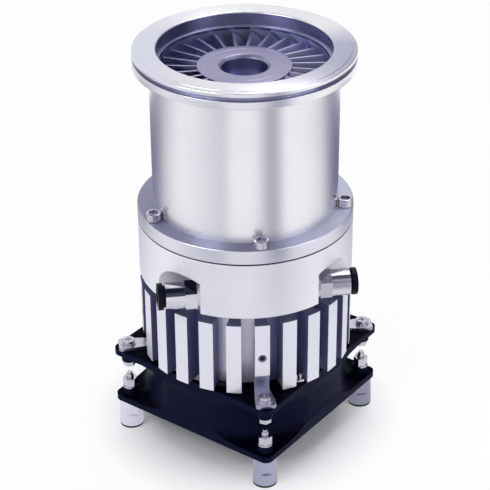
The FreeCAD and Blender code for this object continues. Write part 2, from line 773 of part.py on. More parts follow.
def make_fan():
    """The square axial fan that cools the fins: die-cast frame, outer-rotor motor and impeller."""
    eighth_turn = 45
    frame = Piece("fan_frame", turn=eighth_turn)
    for low in ("foot_height", "fan_top - fan_ear_thickness"):
        plate = frame.rounded_square(frame.level(low), "fan_width", "fan_corner_radius")
        frame.pad(plate, "fan_ear_thickness")
    low = "foot_height + fan_ear_thickness"
    high = "fan_top - fan_ear_thickness"
    frame.revolve([
        ("fan_bore_radius", "foot_height"), ("fan_duct_radius + fan_flare", "foot_height"),
        ("fan_duct_radius + fan_flare", low), ("fan_duct_radius + fan_flare_end", low + " + fan_flare_start"),
        ("fan_duct_radius + fan_flare_start", low + " + fan_flare_end"),
        ("fan_duct_radius", low + " + fan_flare"), ("fan_duct_radius", high + " - fan_flare"),
        ("fan_duct_radius + fan_flare_start", high + " - fan_flare_end"),
        ("fan_duct_radius + fan_flare_end", high + " - fan_flare_start"),
        ("fan_duct_radius + fan_flare", high), ("fan_duct_radius + fan_flare", "fan_top"),
        ("fan_bore_radius", "fan_top")])
    outside = frame.level("foot_height")
    frame.rounded_square(outside, "fan_width * 2", "fan_corner_radius")
    frame.rounded_square(outside, "fan_width", "fan_corner_radius")
    frame.pocket(outside, "fan_height", forward=True)
    hole = "fan_hole_spacing / 2"
    top_boss = frame.pad(frame.circle(frame.level("fan_top - fan_ear_thickness"), hole, hole,
                                      "fan_boss_radius"),
                         "fan_top_boss_drop", back=True)
    low_boss = frame.pad(frame.circle(frame.level("foot_height + fan_ear_thickness"), hole, hole,
                                      "fan_boss_radius"), "fan_bottom_boss_rise")
    frame.repeat([top_boss, low_boss], "bracket_count")
    frame.pocket(frame.circle(frame.level("foot_height"), "0", "0", "fan_bore_radius"), "fan_height",
                 forward=True)
    bolt = frame.pocket(frame.circle(frame.level("foot_height"), hole, hole, "fan_hole_radius"),
                        "fan_height",
                        forward=True)
    frame.repeat([bolt], "bracket_count")
    frame.pad(frame.circle(frame.level("foot_height"), "0", "0", "fan_hub_plate_radius"),
              "fan_hub_plate_thickness")
    strut_sketch = frame.level("foot_height")
    frame.rectangle(strut_sketch, "fan_hub_plate_radius - fan_strut_bite",
                    "fan_bore_radius + fan_strut_bite",
                    "-fan_strut_width / 2", "fan_strut_width / 2")
    strut = frame.pad(strut_sketch, "fan_strut_height")
    frame.repeat([strut], "fan_strut_count")

    plate_top = "(foot_height + fan_hub_plate_thickness)"
    cup_bottom = "(%s + fan_cup_bottom_gap)" % plate_top
    cup_top = "(%s + fan_cup_height)" % cup_bottom
    core_low = "(%s + fan_core_lift)" % plate_top
    foot_top = "(%s + fan_core_foot_height)" % plate_top
    core = ring("fan_motor_core", "fan_sleeve_radius", "fan_core_radius", core_low,
                core_low + " + fan_core_height")
    core.revolve([("fan_sleeve_radius", plate_top), ("fan_core_foot_radius", plate_top),
                  ("fan_core_foot_radius", foot_top), ("fan_sleeve_radius", foot_top)])
    ring("fan_bearing_sleeve", "fan_shaft_radius + fan_running_gap", "fan_sleeve_radius", plate_top,
         plate_top + " + fan_core_height")

    impeller = Piece("fan_impeller")
    inner = "(fan_cup_radius - fan_cup_wall)"
    impeller.revolve([
        ("fan_shaft_radius", cup_top + " - fan_cup_hub_roof"), (inner, cup_top + " - fan_cup_roof"),
        (inner, cup_bottom), ("fan_cup_radius", cup_bottom), ("fan_cup_radius", cup_top + " - fan_cup_edge"),
        ("fan_cup_radius - fan_cup_edge", cup_top), ("fan_shaft_radius", cup_top)])
    middle = "(%s + fan_blade_lift + fan_blade_height / 2)" % cup_bottom
    blade(impeller, "fan_blade_root", "fan_bore_radius - fan_tip_gap", middle, "fan_blade_height",
          "fan_blade_angle", "fan_blade_thickness", "fan_blade_count")
    ring("fan_rotor_ring", inner + " - fan_ring_thickness", inner, cup_bottom,
         cup_bottom + " + fan_ring_height")
    shaft = Piece("fan_shaft")
    shaft_low = "(%s + fan_shaft_lift)" % plate_top
    shaft.pad(shaft.circle(shaft.level(shaft_low), "0", "0", "fan_shaft_radius"), "%s - %s" % (cup_top,
                                                                                               shaft_low))

    terminals = Piece("fan_terminals")
    block = terminals.facing("terminal_clock", "terminal_distance")
    terminals.rectangle(block, "-terminal_block_width / 2", "terminal_block_width / 2", "fan_top",
                        "fan_top + terminal_block_height")
    terminals.pad(block, "terminal_block_depth")
    lug_face = "terminal_distance + (terminal_block_depth - terminal_thickness) / 2"
    lugs = terminals.facing("terminal_clock", lug_face)
    for sign in ("-", "+"):
        centre = "%sterminal_spacing / 2" % sign
        terminals.rectangle(lugs, centre + " - terminal_width / 2", centre + " + terminal_width / 2",
                            "fan_top + terminal_block_height",
                            "fan_top + terminal_block_height + terminal_height")
    terminals.pad(lugs, "terminal_thickness")


def blade(piece, root, tip, middle, height, angle, thickness, count, falling=False):
    """Flat tilted blades about the Z axis, from a root distance to a tip distance."""
    lean = "(%s) / 2 / tan((%s) * 1 deg)" % (height, angle)
    half = "(%s) / 2 / sin((%s) * 1 deg)" % (thickness, angle)
    low = "%s - (%s) / 2" % (middle, height)
    high = "%s + (%s) / 2" % (middle, height)
    below, above = ("(%s)" % lean, "-(%s)" % lean) if falling else ("-(%s)" % lean, "(%s)" % lean)
    sketch = piece.outline(piece.facing("0", root), [
        ("%s - %s" % (below, half), low), ("%s + %s" % (below, half), low),
        ("%s + %s" % (above, half), high), ("%s - %s" % (above, half), high)])
    pad = piece.pad(sketch, "(%s) - (%s)" % (tip, root))
    return piece.repeat([pad], count)


def make_brackets():
    """Four bent steel straps that carry the pump's fins on the fan's corners."""
    outer = "-bracket_leg_face"
    inner = "-(bracket_leg_face - bracket_leg_thickness)"
    top = "fan_top + bracket_thickness"
    leg_half = "bracket_leg_width / 2"
    foot_half = "bracket_foot_width / 2"
    wide = "-(bracket_foot_end - bracket_widening)"
    notch = "-(bracket_foot_end - bracket_corner_cut)"
    narrow = "(%s - bracket_corner_cut)" % foot_half
    for quarter, name in enumerate(("front", "right", "rear", "left")):
        strap = Piece("bracket_" + name, turn=90 * quarter)
        leg = strap.rectangle(strap.side(), outer, inner, "fan_top", "bracket_leg_top")
        strap.pad(leg, "bracket_leg_width", both=True)
        foot = strap.outline(strap.level("fan_top"), [
            ("-" + leg_half, inner), ("-" + leg_half, outer), ("-" + foot_half, wide), ("-" + foot_half,
                                                                                        notch),
            ("-" + narrow, "-bracket_foot_end"), (narrow, "-bracket_foot_end"), (foot_half, notch),
            (foot_half, wide), (leg_half, outer), (leg_half, inner)])
        strap.pad(foot, "bracket_thickness")
        hole = strap.circle(strap.level("fan_top"), "0", "-corner_distance",
                            "foot_screw_radius + hole_clearance")
        strap.pocket(hole, "bracket_thickness", forward=True)
        leg_hole = strap.circle(strap.facing("0", "bracket_leg_face"), "0", "fin_screw_height",
                                "fin_screw_radius + screw_clearance")
        strap.pocket(leg_hole, "bracket_leg_thickness")

    fin_screws = Piece("bracket_fin_screws")
    face = fin_screws.facing("0", "bracket_leg_face")
    head = fin_screws.pad(fin_screws.circle(face, "0", "fin_screw_height", "fin_screw_head_radius"),
                          "fin_screw_head_height")
    face = fin_screws.facing("0", "bracket_leg_face")
    shank = fin_screws.pad(fin_screws.circle(face, "0", "fin_screw_height", "fin_screw_radius"),
                           "fin_screw_reach", back=True)
    face = fin_screws.facing("0", "bracket_leg_face + fin_screw_head_height")
    socket = fin_screws.pocket(fin_screws.hexagon(face, "0", "fin_screw_height", "trim_socket_width"),
                               "trim_socket_depth")
    fin_screws.repeat([head, shank, socket], "bracket_count")

    washers = Piece("bracket_foot_washers")
    disc = washers.level(top)
    washers.circle(disc, "0", "-corner_distance", "foot_screw_washer_radius")
    washers.circle(disc, "0", "-corner_distance", "foot_screw_radius + screw_clearance")
    washers.repeat([washers.pad(disc, "foot_screw_washer_thickness")], "bracket_count")

    seat = "(%s + foot_screw_washer_thickness)" % top
    boss = "(fan_top - fan_ear_thickness - fan_top_boss_drop)"
    screws = Piece("bracket_foot_screws")
    head = screws.pad(screws.circle(screws.level(seat), "0", "-corner_distance", "foot_screw_head_radius"),
                      "foot_screw_head_height")
    shank_low = "(%s - foot_screw_nut_height - foot_screw_end)" % boss
    shank = screws.pad(screws.circle(screws.level(seat), "0", "-corner_distance", "foot_screw_radius"),
                       "%s - %s" % (seat, shank_low), back=True)
    arm = "cross_length / 2"
    half = "cross_width / 2"
    corners = [(arm, "-" + half), (arm, half), (half, half), (half, arm), ("-" + half, arm), ("-" + half,
                                                                                              half),
               ("-" + arm, half), ("-" + arm, "-" + half), ("-" + half, "-" + half), ("-" + half, "-" + arm),
               (half, "-" + arm), (half, "-" + half)]
    cross = screws.outline(screws.level(seat + " + foot_screw_head_height"),
                           [(across, "-corner_distance + " + up) for across, up in corners])
    recess = screws.pocket(cross, "cross_depth")
    screws.repeat([head, shank, recess], "bracket_count")

    nuts = Piece("bracket_foot_nuts")
    blank = nuts.level(boss)
    nuts.hexagon(blank, "0", "-corner_distance", "foot_screw_nut_width")
    nuts.circle(blank, "0", "-corner_distance", "foot_screw_radius")
    nuts.repeat([nuts.pad(blank, "foot_screw_nut_height", back=True)], "bracket_count")


def make_cooler():
    """The finned ring: milled slots leave wedge fins, four of them slit for the bracket legs."""
    cooler = Piece("finned_cooler")
    web_bottom = "fin_top - cooler_web"
    cooler.revolve([
        ("cooler_bore_radius", web_bottom), ("cooler_wall_radius", web_bottom),
        ("cooler_wall_radius", "fin_bottom"), ("body_radius", "fin_bottom"), ("body_radius", "fin_top"),
        ("cooler_bore_radius", "fin_top")])
    half_pitch = "180 / fin_count"
    slot = cooler.facing(half_pitch, OUTSIDE)
    cooler.rectangle(slot, "-fin_gap / 2", "fin_gap / 2", "fin_bottom - cut_margin", "fin_top + cut_margin")
    cut = cooler.pocket(slot, OUTSIDE + " - fin_root_radius")
    cooler.repeat([cut], "fin_count")
    face = "-(bracket_leg_face + slot_clearance)"
    back = "-(bracket_leg_face - bracket_leg_thickness - slot_clearance)"
    low = "fin_bottom - cut_margin"
    leg_space = cooler.outline(cooler.side(), [
        (back, low), (back, "bracket_slot_top"), (face, "bracket_slot_top"), (face, "short_fin_bottom"),
        ("-" + OUTSIDE, "short_fin_bottom"), ("-" + OUTSIDE, low)])
    slit = cooler.pocket(leg_space, "slit_width", both=True)
    head_hole = cooler.circle(cooler.facing("0", OUTSIDE), "0", "fin_screw_height",
                              "fin_screw_head_radius + 2 * screw_clearance")
    window = cooler.pocket(head_hole, "%s - (bracket_leg_face - cut_margin)" % OUTSIDE)
    tap = cooler.circle(cooler.facing("0", "bracket_leg_face"), "0", "fin_screw_height",
                        "fin_screw_radius + screw_clearance")
    tapped = cooler.pocket(tap, "fin_screw_reach + cut_margin")
    cooler.repeat([slit, window, tapped], "bracket_count")
    holes(cooler, "cooler_screw_circle", "cooler_screw_count", "screw_radius + hole_clearance", web_bottom,
          "cooler_web", up=True)

    screw_set("cooler_screws", "cooler_screw_circle", "cooler_screw_count", web_bottom,
              "cooler_screw_head_radius", "screw_head_height", "screw_radius",
              "cooler_web + cooler_screw_bite",
              "screw_socket_width", "screw_socket_depth", down=False)


def make_base():
    """The base ring: vacuum chamber, bearing tower bore, coolant bore and the two fitting pockets."""
    base = Piece("base_housing")
    edge = "edge_break"
    base.revolve([
        ("tower_bore_radius", "fin_top"), ("neck_radius", "fin_top"), ("neck_radius", "ring_bottom"),
        ("body_radius - " + edge, "ring_bottom"), ("body_radius", "ring_bottom + " + edge),
        ("body_radius", "seam_height - " + edge), ("body_radius - " + edge, "seam_height"),
        ("chamber_top_radius", "seam_height"), ("chamber_top_radius", "chamber_step_height"),
        ("chamber_radius", "chamber_step_height"), ("chamber_radius", "chamber_floor"),
        ("tower_radius", "chamber_floor"), ("tower_radius", "seam_height"), ("tower_bore_radius",
                                                                             "seam_height")])
    groove_floor = "seam_height - seal_groove_depth"
    base.groove([
        ("seal_groove_radius - seal_groove_width / 2", groove_floor),
        ("seal_groove_radius + seal_groove_width / 2", groove_floor),
        ("seal_groove_radius + seal_groove_width / 2", "seam_height + cut_margin"),
        ("seal_groove_radius - seal_groove_width / 2", "seam_height + cut_margin")])
    for clock, offset in (("90", "-fitting_offset"), ("-90", "fitting_offset")):
        arch = base.circle(base.facing(clock, OUTSIDE), offset, "fitting_height", "pocket_radius")
        base.pocket(arch, OUTSIDE + " - pocket_floor")
        legs = base.rectangle(base.facing(clock, OUTSIDE), offset + " - pocket_radius",
                              offset + " + pocket_radius",
                              "ring_bottom - cut_margin", "fitting_height")
        base.pocket(legs, OUTSIDE + " - pocket_floor")
        tap = base.circle(base.facing(clock, "pocket_floor"), offset, "fitting_height",
                          "fitting_thread_radius + sliding_gap")
        base.pocket(tap, "fitting_thread_length + cut_margin")
    channel = base.circle(base.side(), "-fitting_offset", "fitting_height", "coolant_bore_radius")
    base.pocket(channel, "pocket_floor * 2", both=True)
    port_spot = base.circle(base.facing("180", OUTSIDE), "0", "port_height",
                            "port_collar_radius + port_spot_gap")
    base.pocket(port_spot, OUTSIDE + " - port_face")
    port_hole = base.circle(base.facing("180", "port_face"), "0", "port_height", "port_tube_radius")
    base.pocket(port_hole, "port_face - port_hole_end")
    plug_spot = base.circle(base.facing("connector_angle", OUTSIDE), "0", "connector_height",
                            "connector_spot_radius")
    base.pocket(plug_spot, OUTSIDE + " - connector_face")
    for across, rise in SOCKET_CORNERS:
        spot = base.circle(base.facing("connector_angle", "connector_face"), across, rise,
                           "small_screw_radius")
        base.pocket(spot, "small_screw_reach + cut_margin")
    wire_way = base.circle(base.facing("connector_angle", "connector_face"), "0", "connector_height",
                           "wire_way_radius")
    base.pocket(wire_way, "connector_face - chamber_radius + cut_margin")
    holes(base, "casing_screw_circle", "casing_screw_count", "screw_radius + screw_clearance", "seam_height",
          "screw_reach + cut_margin")
    holes(base, "housing_screw_circle", "housing_screw_count", "small_screw_radius + screw_clearance",
          "seam_height", "small_screw_reach + cut_margin")
    holes(base, "cooler_screw_circle", "cooler_screw_count", "screw_radius + screw_clearance", "fin_top",
          "cooler_screw_bite + cut_margin", up=True)
    holes(base, "cover_screw_circle", "cover_screw_count", "small_screw_radius + screw_clearance", "fin_top",
          "cover_screw_bite + cut_margin", up=True)

    seal_low = "(seam_height - seal_groove_depth)"
    ring("casing_seal", "seal_groove_radius - seal_groove_width / 2 + seal_side_gap",
         "seal_groove_radius + seal_groove_width / 2 - seal_side_gap", seal_low,
         "seam_height - seal_squeeze")


def make_casing():
    """The turned inlet casing with its ISO-K flange, and the five screws that hold it to the base."""
    casing = Piece("casing")
    under = "(flange_top - flange_thickness)"
    groove_top = "(flange_top - rim_thickness)"
    groove_low = "(flange_top - rim_thickness - rim_groove_width)"
    ledge_top = "(flange_top - inlet_depth)"
    edge = "edge_break"
    flange_low = "seam_height + casing_flange_thickness"
    casing.revolve([
        ("tube_inner_radius", "seam_height"), ("body_radius - " + edge, "seam_height"),
        ("body_radius", "seam_height + " + edge), ("body_radius", flange_low + " - " + edge),
        ("body_radius - " + edge, flange_low), ("tube_outer_radius", flange_low), ("tube_outer_radius",
                                                                                   under),
        ("body_radius - " + edge, under), ("body_radius", under + " + " + edge), ("body_radius", groove_low),
        ("body_radius - rim_groove_depth", groove_low), ("body_radius - rim_groove_depth", groove_top),
        ("body_radius", groove_top), ("body_radius", "flange_top - face_step"),
        ("face_step_radius", "flange_top - face_step"), ("face_step_radius", "flange_top"),
        ("inlet_radius + inlet_chamfer", "flange_top"), ("inlet_radius", "flange_top - inlet_chamfer"),
        ("inlet_radius", ledge_top), ("ledge_radius", ledge_top), ("ledge_radius",
                                                                   ledge_top + " - ledge_thickness"),
        ("tube_inner_radius", ledge_top + " - ledge_thickness")])
    holes(casing, "casing_screw_circle", "casing_screw_count", "screw_radius + hole_clearance", flange_low,
          "casing_flange_thickness")
    screw_set("casing_screws", "casing_screw_circle", "casing_screw_count", flange_low, "screw_head_radius",
              "screw_head_height", "screw_radius", "casing_flange_thickness + screw_reach",
              "screw_socket_width",
              "screw_socket_depth")


def make_stack():
    """The pumping stack's fixed side: blade discs, the spacer rings between them and the drag sleeve."""
    rim = "ledge_radius"
    outside = "tube_inner_radius - stack_gap"
    hubs = ("upper_hub_radius", "middle_hub_radius", "lower_hub_radius")
    middles = []
    for number, (order, hub) in enumerate(zip(("first", "second", "third"), hubs), 1):
        top = order + "_stator_top"
        height = order + "_stator_height"
        middle = "(%s - %s / 2)" % (top, height)
        middles.append(middle)
        low, high = "%s - stator_rim_height / 2" % middle, "%s + stator_rim_height / 2" % middle
        disc = Piece("stator_disc_%d" % number)
        disc.revolve([(rim, low), (outside, low), (outside, high), (rim, high)])
        inner = "(%s + stator_hub_gap)" % hub
        blade(disc, inner + " + stator_hub_wall / 2", rim + " + stator_blade_bite", middle, height,
              "stator_blade_angle", "stator_blade_thickness", order + "_stator_blades", falling=True)
        disc.revolve([(inner, low), (inner + " + stator_hub_wall", low), (inner + " + stator_hub_wall",
                                                                          high),
                      (inner, high)])
    ledge_bottom = "(flange_top - inlet_depth - ledge_thickness)"
    rings = Piece("spacer_rings")
    inside = rim + " + spacer_step"
    ceilings = [ledge_bottom] + ["(%s - stator_rim_height / 2)" % middle for middle in middles]
    floors = ["(%s + stator_rim_height / 2)" % middle for middle in middles] + ["drag_stator_top"]
    for floor, ceiling in zip(floors, ceilings):
        rings.revolve([(inside, floor), (outside, floor), (outside, ceiling), (inside, ceiling)])
    ring("drag_stator", "drum_radius + drag_gap", outside, "seam_height", "drag_stator_top")


def make_rotor():
    """The one-piece bladed rotor with its drag drum, on the shaft with nut, spacer and motor magnet."""
    rotor = Piece("rotor")
    drum_inner = "drum_radius - drum_wall"
    web_low = "drum_top - drum_web"
    rotor.revolve([
        ("upper_journal_radius", "web_bottom"), ("bell_radius", "web_bottom"), ("bell_radius", web_low),
        (drum_inner, web_low), (drum_inner, "drum_bottom"), ("drum_radius", "drum_bottom"),
        ("drum_radius", "drum_top"), ("lower_hub_radius", "drum_top"), ("lower_hub_radius", "lower_hub_top"),
        ("middle_hub_radius", "lower_hub_top"), ("middle_hub_radius", "middle_hub_top"),
        ("upper_hub_radius", "middle_hub_top"), ("upper_hub_radius", "rotor_top"),
        ("recess_mouth_radius", "rotor_top"), ("recess_radius", "rotor_top - recess_mouth_depth"),
        ("recess_radius", "web_top"), ("upper_journal_radius", "web_top")])
    blade(rotor, "upper_hub_radius - blade_root_bite", "tip_radius",
          "(rotor_top - blade_drop - top_blade_height / 2)",
          "top_blade_height", "top_blade_angle", "blade_thickness", "top_blade_count")
    stages = {"second": "middle_hub_radius", "third": "lower_hub_radius", "fourth": "lower_hub_radius"}
    for order, hub in stages.items():
        middle = "(%s_blade_top - %s_blade_height / 2)" % (order, order)
        blade(rotor, hub + " - blade_root_bite", "tip_radius", middle, order + "_blade_height",
              "lower_blade_angle", "blade_thickness", order + "_blade_count")

    bearing_top = "(upper_bearing_bottom + upper_bearing_width)"
    shaft = Piece("rotor_shaft")
    shaft.revolve([
        ("0", "shaft_bottom"), ("lower_journal_radius", "shaft_bottom"),
        ("lower_journal_radius", "lower_bearing_bottom + lower_bearing_width"),
        ("lower_shoulder_radius", "lower_bearing_bottom + lower_bearing_width"),
        ("lower_shoulder_radius", "shaft_body_bottom"), ("shaft_radius", "shaft_body_bottom"),
        ("shaft_radius", "shaft_body_top"), ("shaft_shoulder_radius", "shaft_body_top"),
        ("shaft_shoulder_radius", "upper_bearing_bottom"), ("upper_journal_radius", "upper_bearing_bottom"),
        ("upper_journal_radius", "shaft_top"), ("0", "shaft_top")])
    ring("shaft_spacer", "upper_journal_radius", "spacer_radius", bearing_top, "web_bottom")
    nut = Piece("rotor_nut")
    blank = nut.level("web_top")
    nut.hexagon(blank, "0", "0", "nut_width")
    nut.circle(blank, "0", "0", "upper_journal_radius")
    nut.pad(blank, "nut_height")
    ring("motor_magnet", "shaft_radius", "magnet_radius", "motor_bottom - magnet_overhang",
         "motor_top + magnet_overhang")


def make_bearings():
    """The bearing housing with motor and ball bearings, and the bottom cover that carries the lower one."""
    lower_top = "(lower_bearing_bottom + lower_bearing_width)"
    upper_top = "(upper_bearing_bottom + upper_bearing_width)"
    flange_top_height = "(seam_height + housing_flange_height)"
    outer = "tower_bore_radius - housing_gap"
    housing = Piece("bearing_housing")
    housing.revolve([
        ("motor_bore_radius", "fin_top"), (outer, "fin_top"), (outer, "seam_height"),
        ("housing_flange_radius", "seam_height"), ("housing_flange_radius", flange_top_height),
        ("housing_neck_radius", flange_top_height), ("housing_neck_radius", "housing_top"),
        ("upper_bearing_radius", "housing_top"), ("upper_bearing_radius", "upper_bearing_bottom"),
        ("bearing_shoulder_radius", "upper_bearing_bottom"),
        ("bearing_shoulder_radius", "upper_bearing_bottom - bearing_shoulder_height"),
        ("motor_bore_radius", "upper_bearing_bottom - bearing_shoulder_height")])
    holes(housing, "housing_screw_circle", "housing_screw_count", "small_screw_radius + hole_clearance",
          flange_top_height, "housing_flange_height")
    screw_set("bearing_housing_screws", "housing_screw_circle", "housing_screw_count", flange_top_height,
              "small_screw_head_radius", "small_screw_head_height", "small_screw_radius",
              "housing_flange_height + small_screw_reach", "small_screw_socket_width",
              "small_screw_socket_depth")
    ring("bearing_retainer", "retainer_bore_radius", "upper_bearing_radius", upper_top,
         upper_top + " + retainer_height")
    ring("motor_stator", "motor_inner_radius", "motor_bore_radius", "motor_bottom", "motor_top")
    windings = Piece("motor_windings")
    for low, high in (("motor_bottom - winding_height", "motor_bottom"), ("motor_top",
                                                                          "motor_top + winding_height")):
        windings.revolve([("winding_inner_radius", low), ("winding_outer_radius", low),
                          ("winding_outer_radius", high), ("winding_inner_radius", high)])
    for which, bottom, top, journal in (("upper", "upper_bearing_bottom", upper_top, "upper_journal_radius"),
                                        ("lower", "lower_bearing_bottom", lower_top,
                                         "lower_journal_radius")):
        ring(which + "_bearing_outer", which + "_outer_race_bore", which + "_bearing_radius", bottom, top)
        ring(which + "_bearing_inner", journal, which + "_inner_race_radius", bottom, top)
        middle = "(%s + %s) / 2" % (bottom, top)
        ring(which + "_bearing_cage", which + "_inner_race_radius + cage_gap",
             which + "_outer_race_bore - cage_gap",
             middle + " - cage_height / 2", middle + " + cage_height / 2")
    cover = Piece("bottom_cover")
    low = "fin_top - cover_thickness"
    cover.revolve([
        ("0", low), ("cover_radius", low), ("cover_radius", "fin_top"), ("motor_bore_radius - housing_gap",
                                                                         "fin_top"),
        ("motor_bore_radius - housing_gap", "cover_boss_top"), ("lower_bearing_radius", "cover_boss_top"),
        ("lower_bearing_radius", "lower_bearing_bottom"), ("cover_recess_radius", "lower_bearing_bottom"),
        ("cover_recess_radius", "shaft_bottom - cover_recess_step"), ("0",
                                                                      "shaft_bottom - cover_recess_step")])
    holes(cover, "cover_screw_circle", "cover_screw_count", "small_screw_radius + hole_clearance", low,
          "cover_thickness", up=True)
    screw_set("bottom_cover_screws", "cover_screw_circle", "cover_screw_count", low,
              "small_screw_head_radius",
              "small_screw_head_height", "small_screw_radius", "cover_thickness + cover_screw_bite",
              "small_screw_socket_width", "small_screw_socket_depth", down=False)


def make_fittings():
    """Two push-in coolant fittings on one line, each with a washer, a tube seal and a sliding collar."""
    hex_start = "pocket_floor + fitting_washer_thickness"
    hex_end = "(%s + fitting_hex_length)" % hex_start
    washers = Piece("fitting_washers")
    seals = Piece("tube_seals")
    for side, clock, offset in (("right", "90", "-fitting_offset"), ("left", "-90", "fitting_offset")):
        body = Piece("coolant_fitting_" + side)
        body.pad(body.circle(body.facing(clock, hex_start), offset, "fitting_height",
                             "fitting_thread_radius"),
                 "fitting_washer_thickness + fitting_thread_length", back=True)
        body.pad(body.hexagon(body.facing(clock, hex_start), offset, "fitting_height", "fitting_hex_width"),
                 "fitting_hex_length")
        body.pad(body.circle(body.facing(clock, hex_end), offset, "fitting_height", "fitting_body_radius"),
                 "fitting_body_end - " + hex_end)
        body.pocket(body.circle(body.facing(clock, "fitting_body_end"), offset, "fitting_height",
                                "tube_radius"),
                    "tube_seat_depth")
        body.pocket(body.circle(body.facing(clock, "fitting_body_end"), offset, "fitting_height",
                                "collar_sleeve_radius + sliding_gap"),
                    "collar_sleeve_length")
        body.pocket(body.circle(body.facing(clock, "fitting_body_end"), offset, "fitting_height",
                                "coolant_bore_radius"),
                    "fitting_body_end - pocket_floor + fitting_thread_length")
        seal_face = "(fitting_body_end - collar_sleeve_length)"
        body.pocket(body.circle(body.facing(clock, seal_face), offset, "fitting_height", "tube_seal_radius"),
                    "tube_seal_width")
        packing = seals.facing(clock, seal_face)
        seals.circle(packing, offset, "fitting_height", "tube_seal_radius")
        seals.circle(packing, offset, "fitting_height", "tube_radius")
        seals.pad(packing, "tube_seal_width", back=True)
        disc = washers.facing(clock, "pocket_floor")
        washers.circle(disc, offset, "fitting_height", "fitting_washer_radius")
        washers.circle(disc, offset, "fitting_height", "fitting_thread_radius")
        washers.pad(disc, "fitting_washer_thickness")
        collar = Piece("release_collar_" + side)
        flange_face = "fitting_body_end + collar_travel + collar_gap"
        flange = collar.facing(clock, flange_face)
        collar.circle(flange, offset, "fitting_height", "collar_flange_radius")
        collar.circle(flange, offset, "fitting_height", "tube_radius + collar_bore_clearance")
        collar.pad(flange, "collar_flange_thickness")
        sleeve = collar.facing(clock, flange_face)
        collar.circle(sleeve, offset, "fitting_height", "collar_sleeve_radius")
        collar.circle(sleeve, offset, "fitting_height", "tube_radius + collar_bore_clearance")
        collar.pad(sleeve, "collar_sleeve_length - collar_gap", back=True)


def make_rear_ports():
    """The foreline port with its clamp flange, and the round electrical socket, both at the back."""
    port = Piece("foreline_port")
    steps = [("port_inner_end", "port_tube_radius", "port_face - port_inner_end"),
             ("port_face", "port_collar_radius", "port_collar_thickness"),
             ("port_face + port_collar_thickness", "port_tube_radius",
              "port_end - port_face - port_collar_thickness"),
             ("port_end - port_flange_rim", "port_flange_radius", "port_flange_rim")]
    for start, radius, length in steps:
        port.pad(port.circle(port.facing("180", start), "0", "port_height", radius), length)
    cone = port.pad(port.circle(port.facing("180", "port_end - port_flange_rim"), "0", "port_height",
                                "port_flange_radius"), "port_flange_taper", back=True)
    cone.setExpression("TaperAngle", bound("-port_taper_angle * 1 deg"))
    port.finish(cone)
    port.pocket(port.circle(port.facing("180", "port_end"), "0", "port_height", "port_bore_radius"),
                "port_end - port_inner_end")

    clock = "connector_angle"
    plate_face = "(connector_face + connector_plate_thickness)"
    shell = Piece("connector_shell")
    plate = shell.facing(clock, "connector_face")
    half = "connector_plate_width / 2"
    shell.rectangle(plate, "-" + half, half, "connector_height - " + half, "connector_height + " + half)
    shell.pad(plate, "connector_plate_thickness")
    shell.pad(shell.circle(shell.facing(clock, plate_face), "0", "connector_height",
                           "connector_shell_radius"),
              "connector_length - connector_plate_thickness")
    shell.pocket(shell.circle(shell.facing(clock, "connector_face + connector_length"), "0",
                              "connector_height",
                              "connector_shell_radius - connector_shell_wall"), "connector_length")
    screws = Piece("connector_screws")
    head_face = "(%s + connector_screw_head_height)" % plate_face
    for across, height in SOCKET_CORNERS:
        hole = shell.circle(shell.facing(clock, plate_face), across, height,
                            "small_screw_radius + hole_clearance")
        shell.pocket(hole, "connector_plate_thickness")
        screws.pad(screws.circle(screws.facing(clock, plate_face), across, height,
                                 "small_screw_head_radius"),
                   "connector_screw_head_height")
        screws.pad(screws.circle(screws.facing(clock, plate_face), across, height, "small_screw_radius"),
                   "connector_plate_thickness + small_screw_reach", back=True)
        screws.pocket(screws.hexagon(screws.facing(clock, head_face), across, height, "trim_socket_width"),
                      "trim_socket_depth")
    insert = Piece("connector_insert")
    insert_face = "(connector_face + connector_length - connector_insert_depth)"
    insert.pad(insert.circle(insert.facing(clock, "connector_face"), "0", "connector_height",
                             "connector_shell_radius - connector_shell_wall"),
               "connector_length - connector_insert_depth")
    pins = Piece("connector_pins")
    for number in range(SIZES["connector_pin_count"]):
        angle = "(360 deg * %d / (connector_pin_count - 1))" % number
        reach = "0" if number == SIZES["connector_pin_count"] - 1 else "connector_pin_circle"
        pin = pins.circle(pins.facing(clock, insert_face), "%s * cos(%s)" % (reach, angle),
                          "connector_height + %s * sin(%s)" % (reach, angle), "connector_pin_radius")
        pins.pad(pin, "connector_pin_length")


def write_parts():
    """Check every object and write each piece's solids to its own file."""
    DOC.recompute()
    for thing in DOC.Objects:
        if "Invalid" in thing.State or "Error" in thing.State:
            raise RuntimeError("%s is %s" % (thing.Name, thing.State))
    os.makedirs("parts", exist_ok=True)
    for piece in PIECES:
        shape = piece.body.Shape
        if shape.isNull() or not shape.isValid() or not shape.Solids:
            raise RuntimeError("%s has no valid shape" % piece.label)
        shape.exportStep("parts/%s.step" % piece.label)
        print("%-24s %2d solids %10.1f mm3" % (piece.label, len(shape.Solids), shape.Volume))


fill_sheet()
make_feet()
make_fan()
make_brackets()
make_cooler()
make_base()
make_casing()
make_stack()
make_rotor()
make_bearings()
make_fittings()
make_rear_ports()
write_parts()
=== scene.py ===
"""Looks of the turbomolecular pump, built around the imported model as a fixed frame."""

import json
import logging
import math
from dataclasses import dataclass
from enum import Enum
from typing import Dict, List, Optional, Sequence, Tuple

import bmesh
import bpy
from mathutils import Matrix, Vector


